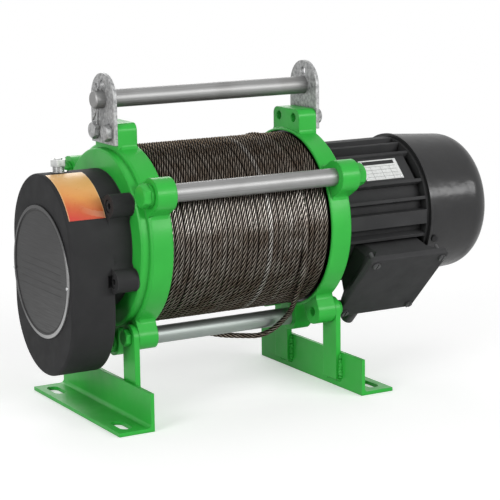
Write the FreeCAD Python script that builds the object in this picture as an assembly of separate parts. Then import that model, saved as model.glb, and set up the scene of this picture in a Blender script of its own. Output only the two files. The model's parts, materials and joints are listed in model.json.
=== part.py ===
import FreeCAD, Part
import math
import os

V = FreeCAD.Vector

# Driving dimensions in millimetres. X runs along the drum from gearbox to motor, Z is up.
# The feet stand on Z = 0 and the drum's middle is at X = 0.

axis_height = 185.0
plate_inner = 95.0
plate_outer = 120.0
plate_radius = 99.0
rim_inner_radius = 96.2
rim_depth = 8.0
lug_inner = 98.0
lug_circle = 113.0
upper_lug_angle = 30.0
upper_lug_radius = 17.5
bottom_lug_radius = 15.5
foot_lug_radius = 14.0
foot_lug_y = 52.0
foot_lug_z = 87.0
top_block_half_width = 27.0
top_block_top = 306.0
gear_ring_radius = 94.0
gear_ring_face = 129.0

rod_diameter = 19.0
rod_thread_radius = 7.0
rod_bolt_flats = 22.0
rod_bolt_head = 8.5
spring_washer_thickness = 3.5

foot_length = 216.0
angle_leg = 40.0
angle_thickness = 4.0
slot_length = 32.0
slot_width = 13.0
slot_y = 81.0
slot_from_heel = 25.0
upright_thickness = 6.0
upright_width = 27.0
upright_bottom = 10.0
foot_bolt_radius = 5.0

ear_thickness = 4.0
ear_bottom = 284.0
ear_radius = 27.0
bar_height = 330.0
bar_diameter = 19.0
bar_half_length = 135.0
bar_hole_radius = 9.58
eye_height = 345.4
eye_radius = 4.5
ear_bolt_y = 15.0
ear_bolt_z = 296.5
split_pin_x = 129.5
split_pin_radius = 2.0

cover_radius = 73.0
cover_face = 198.0
cover_body_back = 150.0
cover_back = 130.0
cover_wall = 5.0
cover_lower_axis = 119.0
cover_neck_radius = cover_radius
cover_neck_bore = 67.0
lobe_circle = 82.0
lobe_radius = 12.0
lobe_front = 153.0
lobe_blend = 9.0
lobe_angles = [33.0, -23.0, 147.0, 203.0]
plate_disc_radius = 69.6
plate_disc_height = 156.0
label_left = -194.8
label_right = -154.4
label_angles = (82.0, 26.6)
plug_x = -173.0
plug_y = 6.0
plug_seat = 256.6

centre_distance = 60.0
lay_height = axis_height - centre_distance
fast_module = 1.25
fast_pinion_teeth = 12
fast_wheel_teeth = 84
slow_module = 1.5
slow_pinion_teeth = 12
slow_wheel_teeth = 68
tooth_gap = 0.09

barrel_radius = 66.0
barrel_wall = 7.0
drum_flange_radius = 95.4
drum_flange_inner = 99.4
drum_flange_outer = 102.4
hub_radius = 25.0
hub_bore = 12.0
winding_radius = 95.0
winding_half_length = 99.0
running_gap = 0.05

shaft_radius = 8.5
motor_end = 232.0
frame_bore = 60.0
frame_skin = 67.0
fin_radius = 77.5
pad_radius = 78.5
stud_circle = 72.0
stud_angles = [-1.2, 90.0, 181.2, 270.0]
nameplate_angle = 44.7
nameplate_pad = 72.0
rotor_radius = 35.3
stator_bore = 36.0
core_start = 152.0
core_end = 212.0
shield_radius = 78.0
cowl_rim_radius = 82.1
cowl_end_radius = 75.4
cowl_rim = 235.5
cowl_wall = 1.5
cowl_end = 326.0
cowl_screw_angles = [-20.0, 200.0, 248.0]
cowl_screw_x = 243.0

box_centre_x = 188.4
lid_half_x = 51.0
lid_half_w = 53.5
box_half_x = 47.5
box_wall_left = -40.4
box_wall_right = 43.0
box_half_w = 49.5
box_rim = 98.0
lid_back = 99.5
lid_face = 106.0
box_angle = 45.0

rope_diameter = 6.0

# Basic shapes.


def turn_x(radius, x_from, x_to, y=0.0, z=axis_height):
    low = min(x_from, x_to)
    return Part.makeCylinder(radius, abs(x_to - x_from), V(low, y, z), V(1, 0, 0))


def ring_x(outer, inner, x_from, x_to, y=0.0, z=axis_height):
    low = min(x_from, x_to) - 1.0
    high = max(x_from, x_to) + 1.0
    return turn_x(outer, x_from, x_to, y, z).cut(turn_x(inner, low, high, y, z))


def block(x_from, x_to, y_from, y_to, z_from, z_to):
    low = V(min(x_from, x_to), min(y_from, y_to), min(z_from, z_to))
    return Part.makeBox(abs(x_to - x_from), abs(y_to - y_from), abs(z_to - z_from), low)


def revolve_x(profile, y=0.0, z=axis_height):
    corners = [V(x, y, z + r) for x, r in profile]
    face = Part.Face(Part.makePolygon(corners + [corners[0]]))
    return face.revolve(V(0, y, z), V(1, 0, 0), 360)


def prism_x(corners, x_from, x_to):
    low = min(x_from, x_to)
    points = [V(low, y, z) for y, z in corners]
    face = Part.Face(Part.makePolygon(points + [points[0]]))
    return face.extrude(V(abs(x_to - x_from), 0, 0))


def hexagon_x(flats, x_from, x_to, y, z, turn=0.0):
    corner = flats / math.sqrt(3.0)
    angles = [math.radians(turn + 60.0 * k) for k in range(6)]
    return prism_x([(y + corner * math.cos(a), z + corner * math.sin(a)) for a in angles], x_from, x_to)


def obround_x(radius, x_from, x_to, low_z, high_z):
    lower = turn_x(radius, x_from, x_to, 0.0, low_z)
    upper = turn_x(radius, x_from, x_to, 0.0, high_z)
    middle = block(x_from, x_to, -radius, radius, low_z, high_z)
    return lower.fuse([upper, middle]).removeSplitter()


def around_axis(radius, angle):
    a = math.radians(angle)
    return (-radius * math.cos(a), axis_height + radius * math.sin(a))


def x_edges(shape, places, reach):
    found = []
    for edge in shape.Edges:
        box = edge.BoundBox
        if box.XLength < 5.0 or box.YLength > 0.01 or box.ZLength > 0.01:
            continue
        for y, z in places:
            if math.hypot(box.YMin - y, box.ZMin - z) < reach:
                found.append(edge)
                break
    return found


def join(shapes):
    return shapes[0].fuse(shapes[1:]).removeSplitter()


def save(name, shape):
    solids = shape.Solids
    result = solids[0] if len(solids) == 1 else Part.makeCompound(solids)
    result.exportStep("parts/" + name + ".step")
    print(name, len(solids), round(result.Volume / 1000.0, 2), "cm3", result.isValid())


# Hexagon head with chamfered corners and a plain shank. Direction is -1 for a head on the -X side.


def hex_bolt(flats, head, shank_radius, shank, seat, direction, y, z):
    outside = seat + direction * head
    prism = hexagon_x(flats, seat, outside, y, z, 30.0)
    crown = [(seat, 0.0), (seat, flats), (outside - direction * 1.8, flats * 0.577)]
    crown = crown + [(outside, flats * 0.475), (outside, 0.0)]
    head_solid = prism.common(revolve_x(crown, y, z))
    return head_solid.fuse(turn_x(shank_radius, seat, seat - direction * shank, y, z)).removeSplitter()


# End plates: disc with rim, lugs round it and a block on top.


def lug_places():
    return {
        "front": around_axis(lug_circle, upper_lug_angle),
        "rear": around_axis(lug_circle, 180.0 - upper_lug_angle),
        "bottom": around_axis(lug_circle, -90.0),
        "front_foot": (-foot_lug_y, foot_lug_z),
        "rear_foot": (foot_lug_y, foot_lug_z),
    }


def rod_places():
    places = lug_places()
    return [places["front"], places["rear"], places["bottom"]]


def foot_places():
    places = lug_places()
    return [places["front_foot"], places["rear_foot"]]


def lug(y, z, radius, side):
    head = turn_x(radius, side * lug_inner, side * plate_outer, y, z)
    reach = math.hypot(y, z - axis_height)
    out = (y / reach, (z - axis_height) / reach)
    across = (-out[1], out[0])
    root = 75.0
    corners = []
    for distance, offset in ((root, radius), (reach, radius), (reach, -radius), (root, -radius)):
        corners.append((
            out[0] * distance + across[0] * offset,
            axis_height + out[1] * distance + across[1] * offset,
        ))
    return head.fuse(prism_x(corners, side * lug_inner, side * plate_outer))


def end_plate(side):
    disc = revolve_x([
        (side * (plate_inner + rim_depth), 40.0),
        (side * (plate_inner + rim_depth), rim_inner_radius),
        (side * plate_inner, rim_inner_radius),
        (side * plate_inner, plate_radius - 1.0),
        (side * (plate_inner + 1.0), plate_radius),
        (side * (plate_outer - 2.0), plate_radius),
        (side * plate_outer, plate_radius - 2.0),
        (side * plate_outer, 40.0),
    ])
    places = lug_places()
    radii = {"front": upper_lug_radius, "rear": upper_lug_radius, "bottom": bottom_lug_radius}
    lugs = [lug(y, z, radii.get(name, foot_lug_radius), side) for name, (y, z) in places.items()]
    half = top_block_half_width
    top = block(side * lug_inner, side * plate_outer, -half, half, axis_height + 75.0, top_block_top)
    top = top.makeFillet(8.0, x_edges(top, [(-half, top_block_top), (half, top_block_top)], 1.0))
    outside = join([lugs[0]] + lugs[1:] + [top])
    outside = outside.cut(turn_x(rim_inner_radius, -200, 200).cut(
        turn_x(rim_inner_radius, side * (plate_inner + rim_depth), side * 130.0)))
    body = join([disc, outside])
    body = body.cut(turn_x(40.0, side * 90.0, side * 125.0))
    blends = []
    for edge in body.Edges:
        box = edge.BoundBox
        if box.XLength < 15.0 or box.YLength > 0.01 or box.ZLength > 0.01:
            continue
        if abs(math.hypot(box.YMin, box.ZMin - axis_height) - plate_radius) < 0.05:
            blends.append(edge)
    if blends:
        body = body.makeFillet(5.0, blends)
    cuts = []
    for y, z in rod_places():
        cuts.append(turn_x(rod_thread_radius + 0.2, side * 90.0, side * 125.0, y, z))
    for y, z in foot_places():
        cuts.append(turn_x(foot_bolt_radius, side * 90.0, side * 125.0, y, z))
    for y in (-ear_bolt_y, ear_bolt_y):
        cuts.append(turn_x(foot_bolt_radius, side * 90.0, side * 125.0, y, ear_bolt_z))
    return body.cut(cuts)


def left_plate():
    body = end_plate(-1)
    ring = revolve_x([
        (-plate_outer + 4.0, 36.0),
        (-plate_outer + 4.0, gear_ring_radius),
        (-gear_ring_face + 1.5, gear_ring_radius),
        (-gear_ring_face, gear_ring_radius - 1.5),
        (-gear_ring_face, 36.0),
    ])
    ring = ring.cut(turn_x(40.0, -plate_outer, -90.0))
    body = join([body, ring])
    cuts = [turn_x(16.0, -gear_ring_face - 1.0, -gear_ring_face + 10.0, 0.0, lay_height)]
    for angle in lobe_angles:
        y, z = around_axis(lobe_circle, angle)
        cuts.append(turn_x(4.0, -gear_ring_face - 1.0, -gear_ring_face + 20.0, y, z))
    return body.cut(cuts)


def right_plate():
    body = end_plate(1)
    cuts = []
    for angle in stud_angles:
        y, z = around_axis(stud_circle, angle)
        cuts.append(turn_x(3.0, plate_outer - 10.0, plate_outer + 1.0, y, z))
    return body.cut(cuts)


# Tie rods, their bolts and washers.


def tie_rods():
    rods = []
    for y, z in rod_places():
        rod = turn_x(rod_diameter / 2.0, -lug_inner, lug_inner, y, z)
        holes = []
        for side in (-1, 1):
            holes.append(turn_x(rod_thread_radius, side * (lug_inner - 25.0), side * (lug_inner + 1.0), y, z))
        rods.append(rod.cut(holes))
    return Part.makeCompound(rods)


def tie_rod_bolts():
    bolts = []
    seat = plate_outer + spring_washer_thickness
    for side in (-1, 1):
        for y, z in rod_places():
            bolt = hex_bolt(rod_bolt_flats, rod_bolt_head, rod_thread_radius, 42.0, side * seat, side, y, z)
            bolts.append(bolt)
    return Part.makeCompound(bolts)


def spring_washers():
    washers = []
    for side in (-1, 1):
        for y, z in rod_places():
            outer = plate_outer + spring_washer_thickness
            washer = ring_x(12.0, rod_thread_radius + 0.2, side * plate_outer, side * outer, y, z)
            near = side * (plate_outer - 1.0)
            split = block(near, side * (outer + 1.0), y - 0.6, y + 0.6, z + 5.0, z + 14.0)
            washers.append(washer.cut(split))
    return Part.makeCompound(washers)


# Feet: angle irons with slots, flat uprights bolted to the plates.


def foot(side):
    heel = plate_outer + upright_thickness
    t = angle_thickness
    leg = angle_leg
    corners = [(heel, 0.0), (heel + leg, 0.0), (heel + leg, t), (heel + t, t), (heel + t, leg), (heel, leg)]
    points = [V(side * x, -foot_length / 2.0, z) for x, z in corners]
    face = Part.Face(Part.makePolygon(points + [points[0]]))
    iron = face.extrude(V(0, foot_length, 0))
    inner = []
    for edge in iron.Edges:
        box = edge.BoundBox
        if box.YLength > 100.0 and abs(abs(box.XMin) - heel - t) < 0.1 and abs(box.ZMin - t) < 0.1:
            inner.append(edge)
    iron = iron.makeFillet(4.0, inner)
    x = side * (heel + slot_from_heel)
    radius = slot_width / 2.0
    run = (slot_length - slot_width) / 2.0
    cuts = []
    for y in (-slot_y, slot_y):
        cuts.append(block(x - radius, x + radius, y - run, y + run, -1.0, t + 1.0))
        for end in (y - run, y + run):
            cuts.append(Part.makeCylinder(radius, t + 2.0, V(x, end, -1.0), V(0, 0, 1)))
    return iron.cut(cuts)


def uprights(side):
    bars = []
    outer = plate_outer + upright_thickness
    half = upright_width / 2.0
    for y, z in foot_places():
        bar = block(side * plate_outer, side * outer, y - half, y + half, upright_bottom, z)
        bar = bar.fuse(turn_x(half, side * plate_outer, side * outer, y, z)).removeSplitter()
        bars.append(bar.cut(turn_x(foot_bolt_radius + 0.5, side * 110.0, side * 130.0, y, z)))
    return Part.makeCompound(bars)


def foot_bolts():
    seat = plate_outer + upright_thickness
    bolts = []
    for side in (-1, 1):
        for y, z in foot_places():
            bolts.append(hex_bolt(16.0, 6.5, foot_bolt_radius, 21.0, side * seat, side, y, z))
    return Part.makeCompound(bolts)


# Hanger: two ears, the bar through them and its split pins.


def ears():
    plates = []
    for side in (-1, 1):
        near = side * plate_outer
        far = side * (plate_outer + ear_thickness)
        ear = block(near, far, -ear_radius, ear_radius, ear_bottom, bar_height)
        ear = ear.fuse(turn_x(ear_radius, near, far, 0.0, bar_height)).removeSplitter()
        holes = [turn_x(bar_hole_radius, side * 110.0, side * 130.0, 0.0, bar_height)]
        holes.append(turn_x(eye_radius, side * 110.0, side * 130.0, 0.0, eye_height))
        for y in (-ear_bolt_y, ear_bolt_y):
            holes.append(turn_x(foot_bolt_radius + 0.5, side * 110.0, side * 130.0, y, ear_bolt_z))
        plates.append(ear.cut(holes))
    return Part.makeCompound(plates)


def ear_bolts():
    seat = plate_outer + ear_thickness
    bolts = []
    for side in (-1, 1):
        for y in (-ear_bolt_y, ear_bolt_y):
            bolts.append(hex_bolt(16.0, 6.5, foot_bolt_radius, 17.0, side * seat, side, y, ear_bolt_z))
    return Part.makeCompound(bolts)


def hanger_bar():
    r = bar_diameter / 2.0
    bar = revolve_x([
        (-bar_half_length, 0.0),
        (-bar_half_length, r - 1.5),
        (-bar_half_length + 1.5, r),
        (bar_half_length - 1.5, r),
        (bar_half_length, r - 1.5),
        (bar_half_length, 0.0),
    ], 0.0, bar_height)
    holes = []
    for side in (-1, 1):
        start = V(side * split_pin_x, 0, bar_height - 20.0)
        holes.append(Part.makeCylinder(split_pin_radius, 40.0, start, V(0, 0, 1)))
    return bar.cut(holes)


def split_pins():
    pins = []
    for side in (-1, 1):
        x = side * split_pin_x
        base = V(x, 0, bar_height - 11.0)
        shank = Part.makeCylinder(split_pin_radius, 22.0, base, V(0, 0, 1))
        eye = Part.makeTorus(3.6, 1.4, V(x, 0, bar_height + 14.6), V(1, 0, 0))
        legs = []
        for start_y, lean in ((-0.8, 0.2), (0.8, 0.95)):
            direction = V(0, lean, -1)
            legs.append(Part.makeCylinder(1.3, 16.0, V(x, start_y, bar_height - 10.0), direction))
        pins.append(join([shank, eye] + legs))
    return Part.makeCompound(pins)


# Involute gear with curved flanks. The first tooth stands at the given angle, measured from +Y towards +Z.


def gear(module, teeth, add, ded, x_from, x_to, z, first):
    pitch = module * teeth / 2.0
    base = pitch * math.cos(math.radians(20.0))
    tip = pitch + add * module
    root = pitch - ded * module
    low = min(x_from, x_to)

    def roll(radius):
        pressure = math.acos(min(1.0, base / radius))
        return math.tan(pressure) - pressure

    half_pitch_angle = (math.pi * module / 2.0 - tooth_gap) / (2.0 * pitch)

    def half_angle(radius):
        return half_pitch_angle + roll(pitch) - roll(radius)

    def spot(radius, angle):
        return V(low, radius * math.cos(angle), z + radius * math.sin(angle))

    start = max(base, root)
    middle = (start + tip) / 2.0
    edges = []
    for k in range(teeth):
        centre = first + 2.0 * math.pi * k / teeth
        following = centre + 2.0 * math.pi / teeth
        rise = [spot(r, centre - half_angle(r)) for r in (start, middle, tip)]
        fall = [spot(r, centre + half_angle(r)) for r in (tip, middle, start)]
        edges.append(Part.Arc(rise[0], rise[1], rise[2]).toShape())
        edges.append(Part.Arc(rise[2], spot(tip, centre), fall[0]).toShape())
        edges.append(Part.Arc(fall[0], fall[1], fall[2]).toShape())
        foot_from = centre + half_angle(start)
        foot_to = following - half_angle(start)
        if start > root + 1e-6:
            edges.append(Part.LineSegment(fall[2], spot(root, foot_from)).toShape())
        foot_middle = (foot_from + foot_to) / 2.0
        valley = Part.Arc(spot(root, foot_from), spot(root, foot_middle), spot(root, foot_to))
        edges.append(valley.toShape())
        if start > root + 1e-6:
            edges.append(Part.LineSegment(spot(root, foot_to), spot(start, foot_to)).toShape())
    wire = Part.Wire(Part.__sortEdges__(edges))
    return Part.Face(wire).extrude(V(abs(x_to - x_from), 0, 0))


# A tooth of each upper gear points down, and a gap of each lower gear points up to meet it.

down = -math.pi / 2.0
up = math.pi / 2.0


def drum_gear():
    wheel = gear(slow_module, slow_wheel_teeth, 0.7, 1.15, -152.0, -133.0, axis_height, down)
    web = [ring_x(44.0, 31.0, -153.0, -148.0), ring_x(44.0, 31.0, -137.0, -132.0)]
    return wheel.cut([turn_x(hub_radius, -160.0, -125.0)] + web)


def layshaft():
    first = up + math.pi / slow_pinion_teeth
    pinion = gear(slow_module, slow_pinion_teeth, 0.9, 0.95, -153.0, -132.0, lay_height, first)
    shaft = revolve_x([
        (-192.0, 0.0), (-192.0, 6.0), (-181.0, 6.0), (-181.0, 7.5), (-153.0, 7.5), (-153.0, 7.0),
        (-131.0, 7.0), (-131.0, 6.0), (-119.5, 6.0), (-119.5, 0.0),
    ], 0.0, lay_height)
    return join([pinion, shaft])


def layshaft_wheel():
    first = up + math.pi / fast_wheel_teeth
    wheel = gear(fast_module, fast_wheel_teeth, 0.7, 1.15, -177.0, -163.0, lay_height, first)
    cuts = [turn_x(7.5, -190.0, -150.0, 0.0, lay_height)]
    cuts.append(ring_x(45.0, 15.0, -178.0, -173.0, 0.0, lay_height))
    cuts.append(ring_x(45.0, 15.0, -167.0, -162.0, 0.0, lay_height))
    return wheel.cut(cuts)


def through_shaft():
    pinion = gear(fast_module, fast_pinion_teeth, 0.9, 0.95, -179.0, -161.0, axis_height, down)
    shaft = revolve_x([
        (-191.5, 0.0), (-191.5, 6.0), (-161.0, 6.0), (-158.0, shaft_radius), (121.0, shaft_radius),
        (121.0, 10.0),
        (148.0, 10.0), (148.0, 12.5), (216.0, 12.5), (216.0, 10.0), (228.0, 10.0), (228.0, 8.5),
        (241.0, 8.5), (241.0, 8.0), (302.0, 8.0), (303.0, 7.0), (303.0, 0.0),
    ])
    return join([pinion, shaft])


# Drum with flanges that run inside the plate rims, and the rope wound on it.


def drum():
    flange = drum_flange_outer
    face = drum_flange_inner
    body = revolve_x([
        (-153.0, hub_bore), (-153.0, hub_radius), (-flange - 0.3, hub_radius), (-flange - 0.3, 34.0),
        (-flange, 34.0), (-flange, drum_flange_radius), (-face, drum_flange_radius),
        (-face, barrel_radius), (face, barrel_radius), (face, drum_flange_radius),
        (flange, drum_flange_radius), (flange, 34.0), (flange + 0.3, 34.0), (flange + 0.3, hub_radius),
        (119.4, hub_radius), (119.4, hub_bore),
    ])
    hollow = revolve_x([
        (-90.0, hub_bore + 6.0), (-90.0, barrel_radius - barrel_wall),
        (90.0, barrel_radius - barrel_wall), (90.0, hub_bore + 6.0),
    ])
    cuts = [hollow]
    for k in range(4):
        y, z = around_axis(46.0, 90.0 * k + 45.0)
        cuts.append(turn_x(9.0, 80.0, 105.0, y, z))
        cuts.append(turn_x(9.0, -105.0, -80.0, y, z))
    return body.cut(cuts)


def rope_winding():
    return ring_x(winding_radius, barrel_radius, -winding_half_length, winding_half_length)


def deep_groove_bearing(outer, inner, x_from, x_to, y=0.0, z=axis_height):
    ring = ring_x(outer, inner, x_from, x_to, y, z)
    middle = (outer + inner) / 2.0
    quarter = (outer - inner) / 5.0
    low = min(x_from, x_to)
    high = max(x_from, x_to)
    faces = [ring_x(middle + quarter, middle - quarter, low - 1.0, low + 0.8, y, z)]
    faces.append(ring_x(middle + quarter, middle - quarter, high - 0.8, high + 1.0, y, z))
    return ring.cut(faces)


def drum_bearings():
    inner = plate_inner + rim_depth
    bore = hub_radius + running_gap
    pair = [deep_groove_bearing(40.0, bore, side * inner, side * (inner + 16.0)) for side in (-1, 1)]
    return Part.makeCompound(pair)


def drum_seal():
    return ring_x(36.0, hub_radius + running_gap, -gear_ring_face + 1.0, -gear_ring_face + 8.0)


# Gear cover: obround pot with a round neck and screw lobes, open towards the plate.


def neck_outline(radius, x_from, x_to, lobes):
    neck = turn_x(radius, x_from, x_to)
    pocket = turn_x(19.0 + radius - cover_neck_radius, x_from, x_to, 0.0, lay_height)
    parts = [neck, pocket]
    for angle in lobes:
        y, z = around_axis(lobe_circle, angle)
        arm_y, arm_z = around_axis(lobe_circle - 16.0, angle)
        parts.append(turn_x(lobe_radius, x_from, x_to, y, z))
        parts.append(turn_x(lobe_radius + 3.0, x_from, x_to, arm_y, arm_z))
    return join(parts)


def blend_lobes(shape, length):
    edges = []
    for edge in shape.Edges:
        box = edge.BoundBox
        if abs(box.XLength - length) > 0.5 or box.YLength > 0.01 or box.ZLength > 0.01:
            continue
        reach = math.hypot(box.YMin, box.ZMin - axis_height)
        if abs(reach - cover_neck_radius) < 0.05 and box.ZMin > axis_height - 60.0:
            edges.append(edge)
    return shape.makeFillet(lobe_blend, edges)


def gear_cover():
    body = obround_x(cover_radius, -cover_face, -cover_body_back, cover_lower_axis, axis_height)
    rim = [e for e in body.Edges if abs(e.BoundBox.XMax + cover_face) < 0.01]
    body = body.makeFillet(3.0, rim)
    neck = neck_outline(cover_neck_radius, -lobe_front, -cover_back, lobe_angles)
    neck = blend_lobes(neck, lobe_front - cover_back)
    cover = join([body, neck])
    inner = cover_radius - cover_wall
    back = -cover_body_back - cover_wall
    cavity = obround_x(inner, -cover_face + cover_wall, back, cover_lower_axis, axis_height)
    bosses = [turn_x(19.0, -195.0, -183.0), turn_x(21.0, -195.0, -182.0, 0.0, lay_height)]
    cavity = cavity.cut(bosses)
    cuts = [cavity, turn_x(cover_neck_bore, back - 1.0, -cover_back + 1.0)]
    cuts.append(turn_x(14.0, back - 1.0, -cover_back + 1.0, 0.0, lay_height))
    cuts.append(turn_x(14.0, -192.0, -182.0))
    cuts.append(turn_x(16.0, -192.0, -180.0, 0.0, lay_height))
    for angle in lobe_angles:
        y, z = around_axis(lobe_circle, angle)
        cuts.append(turn_x(7.0, -lobe_front - 4.0, -lobe_front + 9.0, y, z))
        cuts.append(turn_x(4.3, -lobe_front, -cover_back + 1.0, y, z))
    cuts.append(Part.makeCylinder(6.0, 30.0, V(plug_x, plug_y, axis_height + 60.0), V(0, 0, 1)))
    seat = Part.makeCylinder(10.5, 10.0, V(plug_x, plug_y, plug_seat), V(0, 0, 1))
    return cover.cut(cuts + [seat])


def cover_gasket():
    sheet = neck_outline(cover_neck_radius, -cover_back, -gear_ring_face, lobe_angles)
    cuts = [turn_x(cover_neck_bore, -140, -120), turn_x(14.0, -140, -120, 0.0, lay_height)]
    for angle in lobe_angles:
        y, z = around_axis(lobe_circle, angle)
        cuts.append(turn_x(4.3, -140, -120, y, z))
    return sheet.cut(cuts)


def cover_screws():
    screws = []
    for angle in lobe_angles:
        y, z = around_axis(lobe_circle, angle)
        seat = -lobe_front + 9.0
        head = turn_x(6.5, seat - 8.0, seat, y, z).cut(hexagon_x(6.0, seat - 9.0, seat - 4.0, y, z))
        screws.append(head.fuse(turn_x(4.0, seat, -gear_ring_face + 14.0, y, z)).removeSplitter())
    return Part.makeCompound(screws)


def oil_plug():
    washer = Part.makeCylinder(9.0, 1.6, V(plug_x, plug_y, plug_seat), V(0, 0, 1))
    stem = Part.makeCylinder(6.0, 20.0, V(plug_x, plug_y, plug_seat - 10.0), V(0, 0, 1))
    corner = 15.0 / math.sqrt(3.0)
    ring = [math.radians(60.0 * k) for k in range(7)]
    head_z = plug_seat + 7.0
    points = [V(plug_x + corner * math.cos(a), plug_y + corner * math.sin(a), head_z) for a in ring]
    head = Part.Face(Part.makePolygon(points)).extrude(V(0, 0, 7.0))
    button = Part.makeCylinder(4.5, 1.4, V(plug_x, plug_y, plug_seat + 14.0), V(0, 0, 1))
    return join([washer, stem, head, button])


def cover_nameplate():
    disc = revolve_x([
        (-cover_face, 0.0), (-cover_face, plate_disc_radius), (-cover_face - 1.6, plate_disc_radius),
        (-cover_face - 2.0, plate_disc_radius - 0.4), (-cover_face - 2.0, plate_disc_radius - 3.4),
        (-cover_face - 1.2, plate_disc_radius - 4.2), (-cover_face - 1.2, 0.0),
    ], 0.0, plate_disc_height)
    return disc


def nameplate_rivets():
    rivets = []
    for y in (-67.4, 67.4):
        rivet = turn_x(1.6, -cover_face - 3.0, -cover_face - 2.0, y, plate_disc_height - 6.0)
        rivets.append(rivet)
    return Part.makeCompound(rivets)


def cover_label():
    sleeve = ring_x(cover_radius + 0.3, cover_radius, label_left, label_right)
    wedge = [around_axis(130.0, angle) for angle in label_angles]
    wedge.append((0.0, axis_height))
    return sleeve.common(prism_x(wedge, -200.0, -140.0))


# Motor: finned frame with pads, two shields, stator and rotor, brake, fan and cowl.


def radial_bar(angle, thickness, r_from, r_to, x_from, x_to):
    bar = block(x_from, x_to, -r_to, -r_from, axis_height - thickness / 2.0, axis_height + thickness / 2.0)
    bar.rotate(V(0, 0, axis_height), V(1, 0, 0), -angle)
    return bar


def motor_frame():
    pieces = [turn_x(frame_skin, plate_outer, motor_end)]
    for angle in (74.0, 59.0, 29.5, 14.5, -17.0):
        for place in (angle, 180.0 - angle):
            pieces.append(radial_bar(place, 3.6, frame_skin - 2.0, fin_radius, plate_outer, motor_end))
    for angle in (135.0, 213.0, 229.0, 241.0, 253.0):
        pieces.append(radial_bar(angle, 3.6, frame_skin - 2.0, fin_radius, plate_outer, motor_end))
    for angle in stud_angles:
        pieces.append(radial_bar(angle, 15.6, frame_skin - 6.0, pad_radius, plate_outer, motor_end))
    pieces.append(radial_bar(nameplate_angle, 34.0, frame_skin - 6.0, nameplate_pad, 150.0, 226.0))
    frame = join(pieces)
    cuts = [turn_x(frame_bore, plate_outer - 1.0, motor_end + 1.0)]
    for angle in stud_angles:
        y, z = around_axis(stud_circle, angle)
        cuts.append(turn_x(3.2, plate_outer - 1.0, motor_end + 1.0, y, z))
    return frame.cut(cuts)


def motor_nameplate():
    return radial_bar(nameplate_angle, 27.0, nameplate_pad, nameplate_pad + 0.8, 164.0, 213.0)


def front_shield():
    return revolve_x([
        (plate_outer, 27.0), (plate_outer, frame_bore), (136.0, frame_bore), (136.0, 56.0), (128.0, 54.0),
        (128.0, 27.0), (136.0, 27.0), (136.0, 21.0), (123.0, 21.0), (123.0, 14.0), (121.0, 14.0),
        (121.0, 27.0),
    ])


def outward(angle, radius, x):
    y, z = around_axis(radius, angle)
    return V(x, y, z)


def rear_shield():
    shield = revolve_x([
        (226.0, 21.5), (226.0, 17.5), (238.0, 17.5), (238.0, 12.0), (246.0, 12.0), (246.0, shield_radius),
        (motor_end, shield_radius), (motor_end, frame_bore), (228.0, frame_bore), (228.0, 55.0),
        (236.0, 52.0), (236.0, 21.5),
    ])
    cuts = []
    for angle in stud_angles:
        y, z = around_axis(stud_circle, angle)
        cuts.append(turn_x(3.2, 220.0, 250.0, y, z))
    for angle in cowl_screw_angles:
        start = outward(angle, 62.0, cowl_screw_x)
        cuts.append(Part.makeCylinder(2.0, 20.0, start, outward(angle, 1.0, 0.0) - V(0, 0, axis_height)))
    return shield.cut(cuts)


def motor_studs():
    studs = []
    for angle in stud_angles:
        y, z = around_axis(stud_circle, angle)
        stud = turn_x(3.0, plate_outer - 8.0, 253.0, y, z)
        studs.append(stud.fuse(hexagon_x(9.0, 246.0, 251.0, y, z)).removeSplitter())
    return Part.makeCompound(studs)


def motor_bearings():
    front = deep_groove_bearing(21.0, 10.0 + running_gap, 123.0, 135.0)
    rear = deep_groove_bearing(17.5, 8.5 + running_gap, 228.2, 238.0)
    return Part.makeCompound([front, rear])


def gearbox_bearings():
    shaft_end = deep_groove_bearing(14.0, 6.0 + running_gap, -192.0, -184.0)
    lay_outer = deep_groove_bearing(16.0, 6.0 + running_gap, -192.0, -182.0, 0.0, lay_height)
    lay_inner = deep_groove_bearing(16.0, 6.0 + running_gap, -129.0, -119.0, 0.0, lay_height)
    return Part.makeCompound([shaft_end, lay_outer, lay_inner])


def stator_core():
    core = ring_x(frame_bore, stator_bore, core_start, core_end)
    slots = []
    for k in range(12):
        slots.append(radial_bar(30.0 * k, 5.0, stator_bore - 1.0, 48.0, core_start - 1.0, core_end + 1.0))
    return core.cut(slots)


def stator_windings():
    coils = []
    for x_from, x_to in ((140.0, core_start), (core_end, 224.0)):
        coils.append(revolve_x([(x_from, 40.0), (x_from, 48.0), (x_from + 3.0, 52.0), (x_to - 3.0, 52.0),
                                (x_to, 48.0), (x_to, 40.0), (x_to - 2.0, 38.0), (x_from + 2.0, 38.0)]))
    return Part.makeCompound(coils)


def rotor_core():
    return revolve_x([
        (148.0, 12.5), (148.0, 33.0), (core_start, 33.0), (core_start, rotor_radius),
        (core_end, rotor_radius), (core_end, 33.0), (216.0, 33.0), (216.0, 12.5),
    ])


def brake_magnet():
    return revolve_x([(246.0, 16.0), (246.0, 46.0), (262.0, 46.0), (262.0, 16.0)])


def brake_disc():
    return revolve_x([
        (263.0, 8.0), (263.0, 13.0), (266.0, 13.0), (266.0, 45.0),
        (270.0, 45.0), (270.0, 13.0), (274.0, 13.0), (274.0, 8.0),
    ])


def cooling_fan():
    hub = revolve_x([
        (278.0, 8.0), (278.0, 14.0), (281.0, 14.0), (281.0, 58.0),
        (283.0, 58.0), (283.0, 16.0), (298.0, 14.0), (298.0, 8.0),
    ])
    blades = [radial_bar(45.0 * k, 2.0, 15.0, 63.0, 282.0, 300.0) for k in range(8)]
    return join([hub] + blades)


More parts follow.
